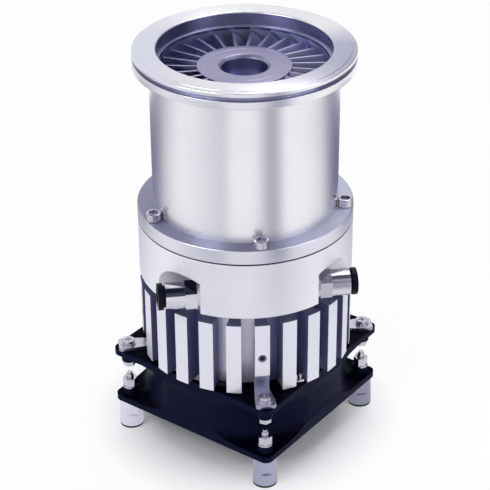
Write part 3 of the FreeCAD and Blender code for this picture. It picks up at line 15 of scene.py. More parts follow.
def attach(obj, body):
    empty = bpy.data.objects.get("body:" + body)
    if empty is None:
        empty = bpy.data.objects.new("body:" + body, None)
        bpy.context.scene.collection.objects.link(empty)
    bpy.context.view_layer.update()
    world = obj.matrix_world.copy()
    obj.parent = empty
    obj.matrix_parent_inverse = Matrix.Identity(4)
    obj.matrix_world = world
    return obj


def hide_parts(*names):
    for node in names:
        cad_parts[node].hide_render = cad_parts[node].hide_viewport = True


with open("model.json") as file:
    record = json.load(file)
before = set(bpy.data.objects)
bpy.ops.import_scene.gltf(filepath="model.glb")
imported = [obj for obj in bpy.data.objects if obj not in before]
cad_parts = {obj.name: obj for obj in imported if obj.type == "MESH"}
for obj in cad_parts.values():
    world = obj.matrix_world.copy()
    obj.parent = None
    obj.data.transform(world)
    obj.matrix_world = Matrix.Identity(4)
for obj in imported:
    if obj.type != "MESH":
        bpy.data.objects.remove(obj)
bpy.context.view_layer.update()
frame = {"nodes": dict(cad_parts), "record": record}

LOG = logging.getLogger("pump")
MM = 0.001
VIEW = math.radians(-8.4)
FRONT_FOOT = 74.2 * MM
SAME_PLACE = 0.001 * MM
SHARP_ANGLE = 35.0
FLAT_ANGLE = 0.05
QUARTER_TURN = 0.25
CORNER_SHARE = 0.4
WHITE = (1.0, 1.0, 1.0)

# the middle of a noise's range, and a wider part of it
MIDDLE = (0.3, 0.7)
WIDE_MIDDLE = (0.25, 0.75)
Point = Tuple[float, float]
Colour = Tuple[float, float, float]
Socket = bpy.types.NodeSocket
Object = bpy.types.Object
Material = bpy.types.Material


class Where(Enum):
    """The CAD bodies that pieces ride on."""

    HOUSING = "housing"
    ROTOR = "rotor"
    FAN = "fan_wheel"
    LEFT_COLLAR = "left_collar"
    RIGHT_COLLAR = "right_collar"


class Lay(Enum):
    """Which way the tool marks of a metal run."""

    NONE = "none"
    TURNED = "turned about the pump's axis"
    MILLED = "milled up and down"
    ROLLED = "rolled sheet"


STRETCH: Dict[Lay, float] = {Lay.MILLED: 0.02, Lay.ROLLED: 0.1}


class Wiring:
    """What a material's tree and a Geometry Nodes tree share: feeding sockets, and numbers."""

    def __init__(self, tree: bpy.types.NodeTree) -> None:
        """Work on one node tree."""
        self.nodes = tree.nodes
        self.links = tree.links

    def feed(self, socket: Socket, value: object) -> None:
        """Link a socket, or set its constant.

        Args:
            socket: The input to fill.
            value: Another node's output, a number, a colour or a vector.
        """
        if isinstance(value, bpy.types.NodeSocket):
            self.links.new(value, socket)
        elif isinstance(value, tuple) and len(value) == 3 and socket.type == "RGBA":
            socket.default_value = (*value, 1.0)
        else:
            socket.default_value = value

    def node(self, kind: str, **given: object) -> bpy.types.Node:
        """Add a node.

        Args:
            kind: The node's type.
            given: Values or sockets by the name of the input, with _ for a space, or as i0, i1 by number.

        Returns:
            The node.
        """
        made = self.nodes.new(kind)
        for name, value in given.items():
            socket = made.inputs[int(name[1:])] if name[1:].isdigit() else made.inputs[name.replace("_", " ")]
            self.feed(socket, value)
        return made

    def math(self, kind: str, first: object, second: object = 0.0, clamp: bool = False) -> Socket:
        """A Math node.

        Args:
            kind: The operation's name.
            first: Its first input.
            second: Its second input.
            clamp: Whether the result stays between 0 and 1.

        Returns:
            The node's output.
        """
        node = self.node("ShaderNodeMath", i0=first, i1=second)
        node.operation = kind
        node.use_clamp = clamp
        return node.outputs[0]

    def times(self, first: object, second: object) -> Socket:
        """The product of two numbers."""
        return self.math("MULTIPLY", first, second)


class Graph(Wiring):
    """A material's node tree, with a short call for each kind of node."""

    def __init__(self, name: str, world: Optional[bpy.types.World] = None) -> None:
        """Start an empty material, or a world's tree.

        Args:
            name: The material's name.
            world: The world, where the tree is a world's.
        """
        self.material = world or bpy.data.materials.new(name)
        self.material.use_nodes = True
        super().__init__(self.material.node_tree)
        self.nodes.clear()
        self.output = self.nodes.new("ShaderNodeOutputWorld" if world else "ShaderNodeOutputMaterial")
        self.place = self.nodes.new("ShaderNodeTexCoord").outputs["Object"]

    def vector(self, kind: str, first: object, second: object = (0.0, 0.0, 0.0)) -> Socket:
        """A Vector Math node with a vector result.

        Args:
            kind: The operation's name.
            first: Its first input.
            second: Its second input.

        Returns:
            The node's vector output.
        """
        node = self.node("ShaderNodeVectorMath", i0=first, i1=second)
        node.operation = kind
        return node.outputs[0]

    def parts(self, vector: Socket) -> Tuple[Socket, Socket, Socket]:
        """The X, Y and Z of a vector."""
        return tuple(self.node("ShaderNodeSeparateXYZ", Vector=vector).outputs)

    def joined(self, across: object, along: object, up: object) -> Socket:
        """A vector from its X, Y and Z."""
        return self.node("ShaderNodeCombineXYZ", X=across, Y=along, Z=up).outputs[0]

    def height(self) -> Socket:
        """The height above the floor, in metres."""
        return self.parts(self.place)[2]

    def upward(self) -> Socket:
        """How much the surface faces up, from -1 to 1."""
        return self.parts(self.nodes.new("ShaderNodeTexCoord").outputs["Normal"])[2]

    def radius(self) -> Socket:
        """The distance from the pump's axis, in metres."""
        across, along, _ = self.parts(self.place)
        squares = self.math("ADD", self.times(across, across), self.times(along, along))
        return self.math("SQRT", squares)

    def aside(self) -> Socket:
        """How far a point lies to the right of the axis as the photograph shows it, in metres."""
        across, along, _ = self.parts(self.place)
        return self.math("ADD", self.times(across, math.cos(VIEW)),
                         self.times(along, math.sin(VIEW)))

    def towards(self) -> Socket:
        """How far a point lies in front of the axis as the photograph shows it, in metres."""
        across, along, _ = self.parts(self.place)
        return self.math("SUBTRACT", self.times(across, math.sin(VIEW)),
                         self.times(along, math.cos(VIEW)))

    def noise(self, where: Socket, scale: float, detail: float = 2.0, rough: float = 0.5) -> Socket:
        """A noise from 0 to 1 with so many features to a metre, and so many finer layers so strong."""
        given = {"Vector": where, "Scale": scale, "Detail": detail, "Roughness": rough}
        return self.node("ShaderNodeTexNoise", **given).outputs["Fac"]

    def between(self, value: Socket, low: float, high: float, bottom: float = 0.0, top: float = 1.0) -> Socket:
        """A number brought from one range to another, held at its ends."""
        given = {"From_Min": low, "From_Max": high, "To_Min": bottom, "To_Max": top}
        return self.node("ShaderNodeMapRange", Value=value, **given).outputs[0]

    def blend(self, share: Socket, first: object, second: object) -> Socket:
        """Two colours mixed.

        Args:
            share: How much of the second shows.
            first: The first colour.
            second: The second colour.

        Returns:
            The mixed colour.
        """
        node = self.nodes.new("ShaderNodeMix")
        node.data_type = "RGBA"
        self.feed(node.inputs["Factor"], share)
        colours = [socket for socket in node.inputs if socket.type == "RGBA"]
        self.feed(colours[0], first)
        self.feed(colours[1], second)
        return [socket for socket in node.outputs if socket.type == "RGBA"][0]

    def within(self, value: Socket, low: float, high: float, blur: float = 0.1 * MM) -> Socket:
        """1 where a number lies between two others, fading to 0 over the blur at both ends."""
        below = self.between(value, high, high + blur, 1.0, 0.0)
        return self.times(self.between(value, low - blur, low), below)

    def bump(self, height: Socket, depth: float, edge: float = 0.0) -> Socket:
        """A bump from a height, over edges that look a little rounded.

        Args:
            height: The height, from 0 to 1.
            depth: How many metres a height of 1 is.
            edge: The radius that sharp edges seem to have, in metres.

        Returns:
            The new normal.
        """
        node = self.node("ShaderNodeBump", Strength=1.0, Distance=depth, Height=height)
        if edge > 0.0:
            rounded = self.node("ShaderNodeBevel", Radius=edge)
            rounded.samples = 4
            self.feed(node.inputs["Normal"], rounded.outputs["Normal"])
        return node.outputs["Normal"]

    def around(self) -> Socket:
        """The direction that a turned surface's tool marks run in."""
        return self.vector("NORMALIZE", self.vector("CROSS_PRODUCT", (0.0, 0.0, 1.0), self.place))

    def light(self, kind: str, colour: object, strength: float = 1.0) -> bpy.types.Node:
        """An Emission or a Background node with its colour and strength."""
        return self.node("ShaderNode" + kind, Color=colour, Strength=strength)

    def mixed(self, share: Socket, first: bpy.types.Node, second: bpy.types.Node) -> bpy.types.Node:
        """Two shaders mixed, by how much of the second shows."""
        return self.node("ShaderNodeMixShader", i0=share, i1=first.outputs[0], i2=second.outputs[0])

    def finish(self, shader: bpy.types.Node) -> Material:
        """End the tree with a shader, and give the finished material."""
        self.links.new(shader.outputs[0], self.output.inputs["Surface"])
        return self.material


@dataclass(frozen=True)
class Finish:
    """A surface's finish: its colour, its gloss, and the marks that its making and use have left."""

    name: str
    colour: Colour
    second: Colour
    metallic: float = 1.0
    roughness: float = 0.3
    spread: float = 0.08
    anisotropy: float = 0.0
    lay: Lay = Lay.NONE
    marks: float = 900.0
    mark_depth: float = 0.000004
    cloud: float = 45.0
    edge: float = 0.0003
    specular: float = 0.5

    def colouring(self, graph: Graph, cloud: Socket) -> Socket:
        """The surface's colour in a material's tree, from a large soft noise."""
        return graph.blend(graph.between(cloud, *MIDDLE), self.colour, self.second)

    def gloss(self, graph: Graph, cloud: Socket, line: Socket) -> Socket:
        """The surface's roughness in a material's tree, from a large soft noise and the fine tool marks."""
        half, quarter = self.spread / 2, self.spread / 4
        base = graph.between(cloud, *WIDE_MIDDLE, self.roughness - half, self.roughness + half)
        return graph.math("ADD", base, graph.between(line, *MIDDLE, -quarter, quarter), clamp=True)

    def lines(self, graph: Graph) -> Socket:
        """The tool marks, as a height from 0 to 1.

        Args:
            graph: The material's tree.

        Returns:
            The height.
        """
        across, along, up = graph.parts(graph.place)
        if self.lay is Lay.TURNED:
            where = graph.joined(graph.radius(), up, 0.0)
        elif self.lay in STRETCH:
            where = graph.joined(across, along, graph.times(up, STRETCH[self.lay]))
        else:
            where = graph.place
        return graph.noise(where, self.marks, detail=3.0, rough=0.6)

    def build(self) -> Material:
        """Make the material.

        Returns:
            The material.
        """
        graph = Graph(self.name)
        cloud = graph.noise(graph.place, self.cloud, detail=4.0, rough=0.55)
        line = self.lines(graph)
        shader = graph.node("ShaderNodeBsdfPrincipled", Base_Color=self.colouring(graph, cloud),
                            Roughness=self.gloss(graph, cloud, line), Metallic=self.metallic,
                            Anisotropic=self.anisotropy, Specular_IOR_Level=self.specular)
        if self.lay is Lay.TURNED and self.anisotropy > 0.0:
            shader.inputs["Anisotropic Rotation"].default_value = QUARTER_TURN
            graph.feed(shader.inputs["Tangent"], graph.around())
        graph.feed(shader.inputs["Normal"], graph.bump(line, self.mark_depth, self.edge))
        return graph.finish(shader)


@dataclass(frozen=True)
class CasingFinish(Finish):
    """The turned casing: bright outside; painted shade down the bore, in the rim's groove, on the low flange and
    across the top face; painted highlights on the rim, the low flange and the ledge; and a duller top on its low
    flange.
    """

    # painted shade down the bore
    inlet_shade: Colour = (0.22, 0.22, 0.36)
    # painted shade in the rim's groove
    groove: Colour = (0.27, 0.27, 0.40)
    # painted shade on the low flange's top, and a painted highlight towards its right
    shelf: Colour = (0.30, 0.30, 0.42)
    shelf_right_highlight: Colour = (0.58, 0.59, 0.72)
    # painted reflection on the rim's outer faces: dim on the left, a painted highlight on the right
    lip_painted_light: Colour = (0.74, 0.74, 0.82)
    lips_right_highlight: Colour = (0.99, 0.99, 1.0)
    # painted shade on the low flange's front, with painted highlights towards its sides
    flange: Colour = (0.66, 0.67, 0.75)
    flange_side_highlight: Colour = (0.82, 0.83, 0.91)
    seam: Colour = (0.04, 0.04, 0.07)
    # painted highlight on the ledge's edge
    ledge: Colour = (0.52, 0.52, 0.70)
    # painted shade across the top face, on its left and on its front right
    left_face_shade: Colour = (0.66, 0.67, 0.78)
    right_face_shade: Colour = (0.42, 0.43, 0.56)
    inner_radius: float = 54.0 * MM
    mouth_height: float = 254.55 * MM
    ledge_height: float = 246.7 * MM
    groove_heights: Point = (249.75 * MM, 252.35 * MM)
    groove_radius: float = 64.7 * MM
    shelf_height: float = 156.4 * MM
    seam_height: float = 147.2 * MM
    face_heights: Point = (254.6 * MM, 254.8 * MM)
    rim_heights: Point = (245.2 * MM, 254.5 * MM)
    shelf_depth: float = 0.35 * MM
    seam_width: float = 0.65 * MM
    blur: float = 0.1 * MM
    shelf_dullness: float = 0.24
    # where the painted shade and highlights fall, as shares of the way round to each side and to the front
    left_face_shade_sides: Point = (-0.95, -0.45)
    right_face_shade_sides: Point = (0.25, 0.92)
    right_face_shade_fronts: Point = (-0.55, -0.05)
    flange_highlight_sides: Point = (0.45, 0.9)
    shelf_highlight_sides: Point = (0.2, 0.95)
    lip_highlight_sides: Point = (0.35, 0.85)

    def colouring(self, graph: Graph, cloud: Socket) -> Socket:
        """Bright metal with its painted shade and painted highlights."""
        radius = graph.radius()
        height = graph.height()
        side = graph.math("DIVIDE", graph.aside(), radius)
        face = graph.between(height, *self.face_heights)
        colour = super().colouring(graph, cloud)
        # painted shade across the top face, on its left and on its front right
        left = graph.times(face, graph.between(side, *self.left_face_shade_sides, 1.0, 0.0))
        front = graph.between(graph.math("DIVIDE", graph.towards(), radius), *self.right_face_shade_fronts)
        right = graph.times(graph.times(face, front), graph.between(side, *self.right_face_shade_sides))
        colour = graph.blend(right, graph.blend(left, colour, self.left_face_shade), self.right_face_shade)
        # painted highlights towards the low flange's sides, over painted shade on its front
        flange_highlight_share = graph.between(graph.math("ABSOLUTE", side), *self.flange_highlight_sides)
        flange = graph.blend(flange_highlight_share, self.flange, self.flange_side_highlight)
        colour = graph.blend(graph.within(height, 0.0, self.shelf_height), colour, flange)
        # painted shade on the low flange's top, turning to a painted highlight on its right
        shelf = graph.blend(graph.between(side, *self.shelf_highlight_sides), self.shelf, self.shelf_right_highlight)
        top = graph.within(height, self.shelf_height, self.shelf_height + self.shelf_depth)
        colour = graph.blend(top, colour, shelf)
        colour = graph.blend(graph.within(height, 0.0, self.seam_height + self.seam_width), colour, self.seam)
        # painted reflection on the rim's outer faces, dim on the left and a painted highlight on the right
        rim = graph.times(graph.within(height, *self.rim_heights),
                         graph.between(radius, self.groove_radius, self.groove_radius + self.blur))
        lip_painted_light = graph.blend(graph.between(side, *self.lip_highlight_sides), self.lip_painted_light, self.lips_right_highlight)
        colour = graph.blend(rim, colour, lip_painted_light)
        # painted shade in the rim's groove
        deep = graph.times(graph.within(height, *self.groove_heights),
                          graph.within(radius, self.inner_radius, self.groove_radius))
        colour = graph.blend(deep, colour, self.groove)
        # painted shade down the bore
        inside = graph.times(graph.within(height, 0.0, self.mouth_height),
                            graph.within(radius, 0.0, self.inner_radius))
        # painted highlight on the ledge's edge
        ledge = graph.within(height, self.ledge_height - self.blur, self.ledge_height + self.blur / 2, self.blur / 2)
        return graph.blend(inside, colour, graph.blend(ledge, self.inlet_shade, self.ledge))

    def gloss(self, graph: Graph, cloud: Socket, line: Socket) -> Socket:
        """Smooth but for the low flange's top, which is duller."""
        height = graph.height()
        shelf = graph.within(height, self.shelf_height, self.shelf_height + self.shelf_depth)
        return graph.math("ADD", super().gloss(graph, cloud, line), graph.times(shelf, self.shelf_dullness))


@dataclass(frozen=True)
class RingFinish(Finish):
    """The satin base ring, with painted highlights at its sides and the dark line of the seam above it."""

    # painted highlight at the ring's sides
    sides: Colour = (0.96, 0.96, 1.0)
    seam: Colour = (0.05, 0.05, 0.09)
    seam_heights: Point = (147.2 * MM - 0.45 * MM, 147.2 * MM - 0.3 * MM)
    side_highlight_shares: Point = (0.5, 0.95)

    def colouring(self, graph: Graph, cloud: Socket) -> Socket:
        """Satin metal with painted highlights at its sides, dark on the last bit below the seam."""
        height = graph.height()
        side = graph.math("ABSOLUTE", graph.math("DIVIDE", graph.aside(), graph.radius()))
        # painted highlight towards the ring's sides
        metal = graph.blend(graph.between(side, *self.side_highlight_shares), super().colouring(graph, cloud), self.sides)
        return graph.blend(graph.between(height, *self.seam_heights), metal, self.seam)


@dataclass(frozen=True)
class RotorFinish(Finish):
    """The rotor: light metal on its top edges, painted shade below them down the blades and the recess, and a lighter
    blue tone below that.
    """

    # painted shade below the top edges
    low: Colour = (0.20, 0.205, 0.35)
    # a lighter blue tone lower down
    deep: Colour = (0.62, 0.63, 0.95)
    top_heights: Point = (243.1 * MM - 1.4 * MM, 243.1 * MM - 0.3 * MM)
    stage_heights: Point = (230.0 * MM, 236.0 * MM)

    def colouring(self, graph: Graph, cloud: Socket) -> Socket:
        """Light metal at the top, painted shade below it, and a lighter blue tone lower still."""
        height = graph.height()
        # painted shade below the top edges, turning to a lighter blue tone lower down
        below = graph.blend(graph.between(height, *self.stage_heights), self.deep, self.low)
        return graph.blend(graph.between(height, *self.top_heights), below, super().colouring(graph, cloud))


@dataclass(frozen=True)
class FinFinish(Finish):
    """Dark anodised fins whose outer faces were turned bright, with painted shade on their faces turned up, and bare
    metal on the slots' floors that shows only as a painted reflection in a slice towards the front.
    """

    # painted shade on the fins' faces turned up
    level: Colour = (0.10, 0.105, 0.20)
    bright: Colour = (0.80, 0.80, 0.86)
    # bare metal of the slots' floors, painted as a reflection only in a slice towards the front
    floor: Colour = (0.80, 0.80, 0.92)
    turned_radii: Point = (64.75 * MM, 64.9 * MM)
    floor_radii: Point = (52.0 * MM, 53.6 * MM)
    fin_top: float = 104.0 * MM
    # where the slots' floors show their painted reflection, as shares of the way round
    painted_reflection_sides: Tuple[float, float, float] = (-0.25, 0.12, 0.1)
    painted_shading_slopes: Point = (0.3, 0.8)

    def colouring(self, graph: Graph, cloud: Socket) -> Socket:
        """Anodised everywhere but on the turned faces, with painted shade where it faces up and a painted reflection
        on the slots' floors towards the front.
        """
        radius = graph.radius()
        outer = graph.between(radius, *self.turned_radii)
        floor = graph.times(graph.within(radius, *self.floor_radii), graph.within(graph.height(), 0.0, self.fin_top))
        # painted reflection on the slots' floors in a slice towards the front
        lit = graph.within(graph.math("DIVIDE", graph.aside(), radius), *self.painted_reflection_sides)
        # painted shade on faces turned up
        dark = graph.blend(graph.between(graph.upward(), *self.painted_shading_slopes), super().colouring(graph, cloud), self.level)
        return graph.blend(outer, graph.blend(graph.times(floor, lit), dark, self.floor), self.bright)


@dataclass(frozen=True)
class FittingFinish(Finish):
    """Nickel with a painted dark reflection where it faces up and forward, more so on the left."""

    # the painted dark reflection's colours on the left and on the right
    left: Colour = (0.052, 0.056, 0.095)
    right: Colour = (0.42, 0.42, 0.50)
    reflection_facing: Point = (0.46, 0.88)
    reflection_crossing: float = 10.0 * MM

    def colouring(self, graph: Graph, cloud: Socket) -> Socket:
        """Nickel with its painted dark reflection."""
        # painted dark reflection on faces turned up and forward, darker on the left
        painted_reflection_band = graph.within(graph.upward(), *self.reflection_facing, blur=0.05)
        side = graph.between(graph.parts(graph.place)[0], -self.reflection_crossing, self.reflection_crossing)
        return graph.blend(painted_reflection_band, super().colouring(graph, cloud), graph.blend(side, self.left, self.right))


@dataclass(frozen=True)
class FootFinish(Finish):
    """Satin aluminium feet, each painted a little darker than the one on its left: a painted highlight on the left
    one and painted shade on the right one.
    """

    # painted highlight on the left foot and painted shade on the right foot
    left: Colour = (0.74, 0.74, 0.86)
    right: Colour = (0.30, 0.30, 0.40)
    reach: float = 60.0 * MM

    def colouring(self, graph: Graph, cloud: Socket) -> Socket:
        """The metal of the middle foot, with a painted highlight on the left one and painted shade on the right one.
        """
        side = graph.aside()
        # painted highlight on the left foot, painted shade on the right foot
        colour = graph.blend(graph.between(side, -self.reach, -self.reach / 2, 1.0, 0.0),
                             super().colouring(graph, cloud), self.left)
        return graph.blend(graph.between(side, self.reach / 2, self.reach), colour, self.right)


@dataclass(frozen=True)
class PaintedLevelLightFinish(Finish):
    """A finish with painted light on its level faces, turned up, in a colour of their own: a painted highlight on the
    brackets and painted shade on the fan.
    """

    # the painted colour of faces turned up, a painted highlight on the brackets and painted shade on the fan
    level: Colour = (0.0008, 0.0010, 0.0060)
    painted_shading_slopes: Point = (0.25, 0.8)

    def colouring(self, graph: Graph, cloud: Socket) -> Socket:
        """The finish's colour, and the painted light colour where it lies level."""
        # painted light on faces turned up
        return graph.blend(graph.between(graph.upward(), *self.painted_shading_slopes), super().colouring(graph, cloud), self.level)


@dataclass(frozen=True)
class FinScrewFinish(Finish):
    """A screw in a fin, with painted shade down its socket."""

    # painted shade down the socket
    deep: Colour = (0.05, 0.05, 0.08)
    level: float = 83.0 * MM
    socket: float = 2.0 * MM

    def colouring(self, graph: Graph, cloud: Socket) -> Socket:
        """Steel, with painted shade near the screw's own axis."""
        across, along, up = graph.parts(graph.place)
        aside = graph.math("MINIMUM", graph.math("ABSOLUTE", across), graph.math("ABSOLUTE", along))
        rise = graph.math("SUBTRACT", up, self.level)
        squares = graph.math("ADD", graph.times(aside, aside), graph.times(rise, rise))
        # painted shade within the socket's radius of the screw's axis
        return graph.blend(graph.within(graph.math("SQRT", squares), 0.0, self.socket),
                           super().colouring(graph, cloud), self.deep)


FINISHES: Dict[str, Finish] = {finish.name: finish for finish in (
    CasingFinish("polished_aluminium", (0.84, 0.84, 0.87), (0.80, 0.80, 0.85), roughness=0.27, spread=0.06,
                 anisotropy=0.75, lay=Lay.TURNED, marks=3600.0, mark_depth=0.0000015, cloud=25.0),
    Finish("satin_aluminium", (0.79, 0.79, 0.85), (0.75, 0.75, 0.82), roughness=0.42, anisotropy=0.4, lay=Lay.TURNED,
           marks=2200.0, mark_depth=0.000003),
    RingFinish("ring_aluminium", (0.79, 0.79, 0.85), (0.75, 0.75, 0.82), roughness=0.50, anisotropy=0.4,
               lay=Lay.TURNED, marks=2200.0, mark_depth=0.000003),
    Finish("stack_aluminium", (0.50, 0.51, 0.78), (0.46, 0.47, 0.73), roughness=0.40, lay=Lay.TURNED, marks=2200.0,
           mark_depth=0.000003),
    FinFinish("dark_anodised", (0.170, 0.175, 0.34), (0.148, 0.153, 0.30), metallic=0.35, roughness=0.34,
              lay=Lay.MILLED, marks=1800.0, mark_depth=0.000004),
    RotorFinish("rotor_aluminium", (0.34, 0.33, 0.47), (0.31, 0.30, 0.44), roughness=0.34, anisotropy=0.3,
                lay=Lay.TURNED, marks=2400.0, mark_depth=0.000003),
    Finish("bright_steel", (0.62, 0.62, 0.68), (0.52, 0.52, 0.59), roughness=0.17, spread=0.10, lay=Lay.ROLLED,
           marks=1500.0, mark_depth=0.000002, cloud=160.0),
    # painted highlight on the brackets' faces turned up
    PaintedLevelLightFinish("bracket_steel", (0.36, 0.36, 0.52), (0.32, 0.32, 0.46), roughness=0.30, spread=0.10, lay=Lay.ROLLED,
                marks=1500.0, mark_depth=0.000004, cloud=120.0, level=(0.62, 0.62, 0.70)),
    FinScrewFinish("fin_screw_steel", (0.40, 0.40, 0.50), (0.34, 0.34, 0.44), roughness=0.22, lay=Lay.NONE,
                   marks=1500.0, mark_depth=0.000002),
    Finish("socket_steel", (0.36, 0.36, 0.46), (0.30, 0.30, 0.40), roughness=0.4, marks=1500.0),
    Finish("tool_steel", (0.50, 0.50, 0.54), (0.44, 0.44, 0.48), roughness=0.26, lay=Lay.TURNED, marks=2600.0,
           mark_depth=0.000002),
    Finish("magnet", (0.10, 0.10, 0.11), (0.07, 0.07, 0.08), roughness=0.45, marks=1200.0),
    Finish("copper_winding", (0.55, 0.25, 0.10), (0.45, 0.19, 0.07), metallic=0.7, roughness=0.35, lay=Lay.TURNED,
           marks=1400.0, mark_depth=0.00006),
    Finish("nickel", (0.70, 0.69, 0.75), (0.64, 0.63, 0.70), roughness=0.13, spread=0.07, marks=1800.0,
           mark_depth=0.000001, cloud=120.0),
    FittingFinish("fitting_nickel", (0.68, 0.68, 0.74), (0.62, 0.62, 0.69), roughness=0.16, spread=0.07, marks=1800.0,
                  mark_depth=0.000001, cloud=120.0),
    Finish("black_plastic", (0.0025, 0.003, 0.010), (0.0045, 0.005, 0.015), metallic=0.0, roughness=0.36, spread=0.14,
           marks=2400.0, mark_depth=0.00001, cloud=90.0, specular=0.09),
    Finish("seal_rubber", (0.008, 0.008, 0.014), (0.014, 0.014, 0.022), metallic=0.0, roughness=0.68, spread=0.16,
           marks=1600.0, mark_depth=0.00004, cloud=120.0, specular=0.2),
    FootFinish("foot_aluminium", (0.43, 0.43, 0.56), (0.38, 0.38, 0.51), roughness=0.32, lay=Lay.ROLLED, marks=1500.0,
               mark_depth=0.000004, cloud=90.0),
    # painted shade on the fan's faces turned up
    PaintedLevelLightFinish("fan_black", (0.0042, 0.0058, 0.022), (0.0065, 0.0082, 0.029), metallic=0.0, roughness=0.34,
                spread=0.14, marks=700.0, mark_depth=0.00002, cloud=60.0, specular=0.02),
    Finish("gold", (0.80, 0.58, 0.24), (0.74, 0.52, 0.20), roughness=0.18, marks=1500.0),
)}
MATERIALS: Dict[str, Material] = {}
SLOTS: Dict[str, str] = {entry["node"]: entry["material_slot"] for entry in frame["record"]["subparts"]}


def material_of(slot: str) -> Material:
    """The material of one of the record's slots, made when it is first asked for.

    Args:
        slot: The slot's name.

    Returns:
        The material.
    """
    if slot not in MATERIALS:
        MATERIALS[slot] = FINISHES[slot].build()
    return MATERIALS[slot]


def keep(piece: Object, where: Where, slot: str, *nodes: str) -> Object:
    """Let a finished piece ride on its body and stand for its CAD nodes.

    Args:
        piece: The finished object.
        where: The body it rides on.
        slot: The record's material slot; not used.
        nodes: The CAD nodes that it replaces.

    Returns:
        The same piece.
    """
    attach(piece, where.value)
    if nodes:
        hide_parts(*nodes)
    LOG.info("%s: %d faces", piece.name, len(piece.data.polygons))
    return piece


def new_object(name: str, data: bpy.types.ID) -> Object:
    """A new object for a mesh, a camera or a lamp, at the origin and in the scene.

    Args:
        name: The object's name.
        data: What it shows.

    Returns:
        The object.
    """
    made = bpy.data.objects.new(name, data)
    bpy.context.collection.objects.link(made)
    return made


def looking(place: Vector, aim: Vector) -> Matrix:
    """The matrix of something at one point that faces another."""
    return Matrix.Translation(place) @ (aim - place).to_track_quat("-Z", "Y").to_matrix().to_4x4()


def from_rings(name: str, rings: Sequence[Sequence[Vector]], caps: bool = True) -> Object:
    """A closed skin over rings of equally many points.

    Args:
        name: The object's name.
        rings: The rings, from one end to the other.
        caps: Whether the two ends are closed with a face each.

    Returns:
        The object.
    """
    shape = bmesh.new()
    made = [[shape.verts.new(point) for point in ring] for ring in rings]
    count = len(rings[0])
    for lower, upper in zip(made, made[1:]):
        for step in range(count):
            after = (step + 1) % count
            shape.faces.new((lower[step], lower[after], upper[after], upper[step]))
    if caps:
        shape.faces.new(list(reversed(made[0])))
        shape.faces.new(made[-1])
    bmesh.ops.recalc_face_normals(shape, faces=shape.faces)
    mesh = bpy.data.meshes.new(name)
    shape.to_mesh(mesh)
    shape.free()
    return new_object(name, mesh)


def round_corners(corners: Sequence[Point], radius: float, steps: int = 3) -> List[Point]:
    """A closed outline with each corner replaced by a small arc.

    Args:
        corners: The outline's sharp corners, in millimetres.
        radius: The arcs' radius; short sides get a smaller one.
        steps: How many straight bits each arc has.

    Returns:
        The rounded outline, in metres.
    """
    result: List[Point] = []
    total = len(corners)
    for index, corner in enumerate(corners):
        here = Vector(corner)
        before = Vector(corners[index - 1]) - here
        after = Vector(corners[(index + 1) % total]) - here
        reach = min(radius, CORNER_SHARE * before.length, CORNER_SHARE * after.length)
        start = here + before.normalized() * reach
        end = here + after.normalized() * reach
        for step in range(steps + 1):
            share = step / steps
            point = start.lerp(here, share).lerp(here.lerp(end, share), share)
            result.append((point.x * MM, point.y * MM))
    return result


class Tree(Wiring):
    """A Geometry Nodes tree with named inputs, baked to a plain mesh when it is done."""

    def __init__(self, name: str) -> None:
        """Start an empty tree.

        Args:
            name: The tree's name.
        """
        self.group = bpy.data.node_groups.new(name, "GeometryNodeTree")
        super().__init__(self.group)
        self.group.interface.new_socket("Geometry", in_out="OUTPUT", socket_type="NodeSocketGeometry")
        self.inputs = self.nodes.new("NodeGroupInput")
        self.end = self.nodes.new("NodeGroupOutput")
        self.values: Dict[str, object] = {}

    def ask(self, name: str, kind: str, value: object) -> Socket:
        """Add a named input and the value that it gets.

        Args:
            name: The input's name.
            kind: The socket type, such as Int or Object.
            value: Its value.

        Returns:
            The socket that gives the value inside the tree.
        """
        socket = self.group.interface.new_socket(name, in_out="INPUT", socket_type="NodeSocket" + kind)
        self.values[socket.identifier] = value
        return self.inputs.outputs[name]

    def bake(self, name: str, geometry: Socket, material: Material) -> Object:
        """End the tree, evaluate it once, and keep the result as a plain mesh.

        Args:
            name: The finished object's name.
            geometry: The tree's last geometry.
            material: The material that it gets.

        Returns:
            The finished object.
        """
        self.ask("Material", "Material", material)
        real = self.node("GeometryNodeRealizeInstances", Geometry=geometry)
        coloured = self.node("GeometryNodeSetMaterial", Geometry=real.outputs[0],
                             Material=self.inputs.outputs["Material"])
        self.links.new(coloured.outputs[0], self.end.inputs[0])
        holder = new_object(name, bpy.data.meshes.new(name + "_start"))
        modifier = holder.modifiers.new("nodes", "NODES")
        modifier.node_group = self.group
        for identifier, value in self.values.items():
            modifier[identifier] = value
        bpy.context.view_layer.update()
        evaluated = holder.evaluated_get(bpy.context.evaluated_depsgraph_get())
        mesh = bpy.data.meshes.new_from_object(evaluated)
        mesh.name = name
        holder.modifiers.remove(modifier)
        holder.data = mesh
        mesh.materials.clear()
        mesh.materials.append(material)
        return holder


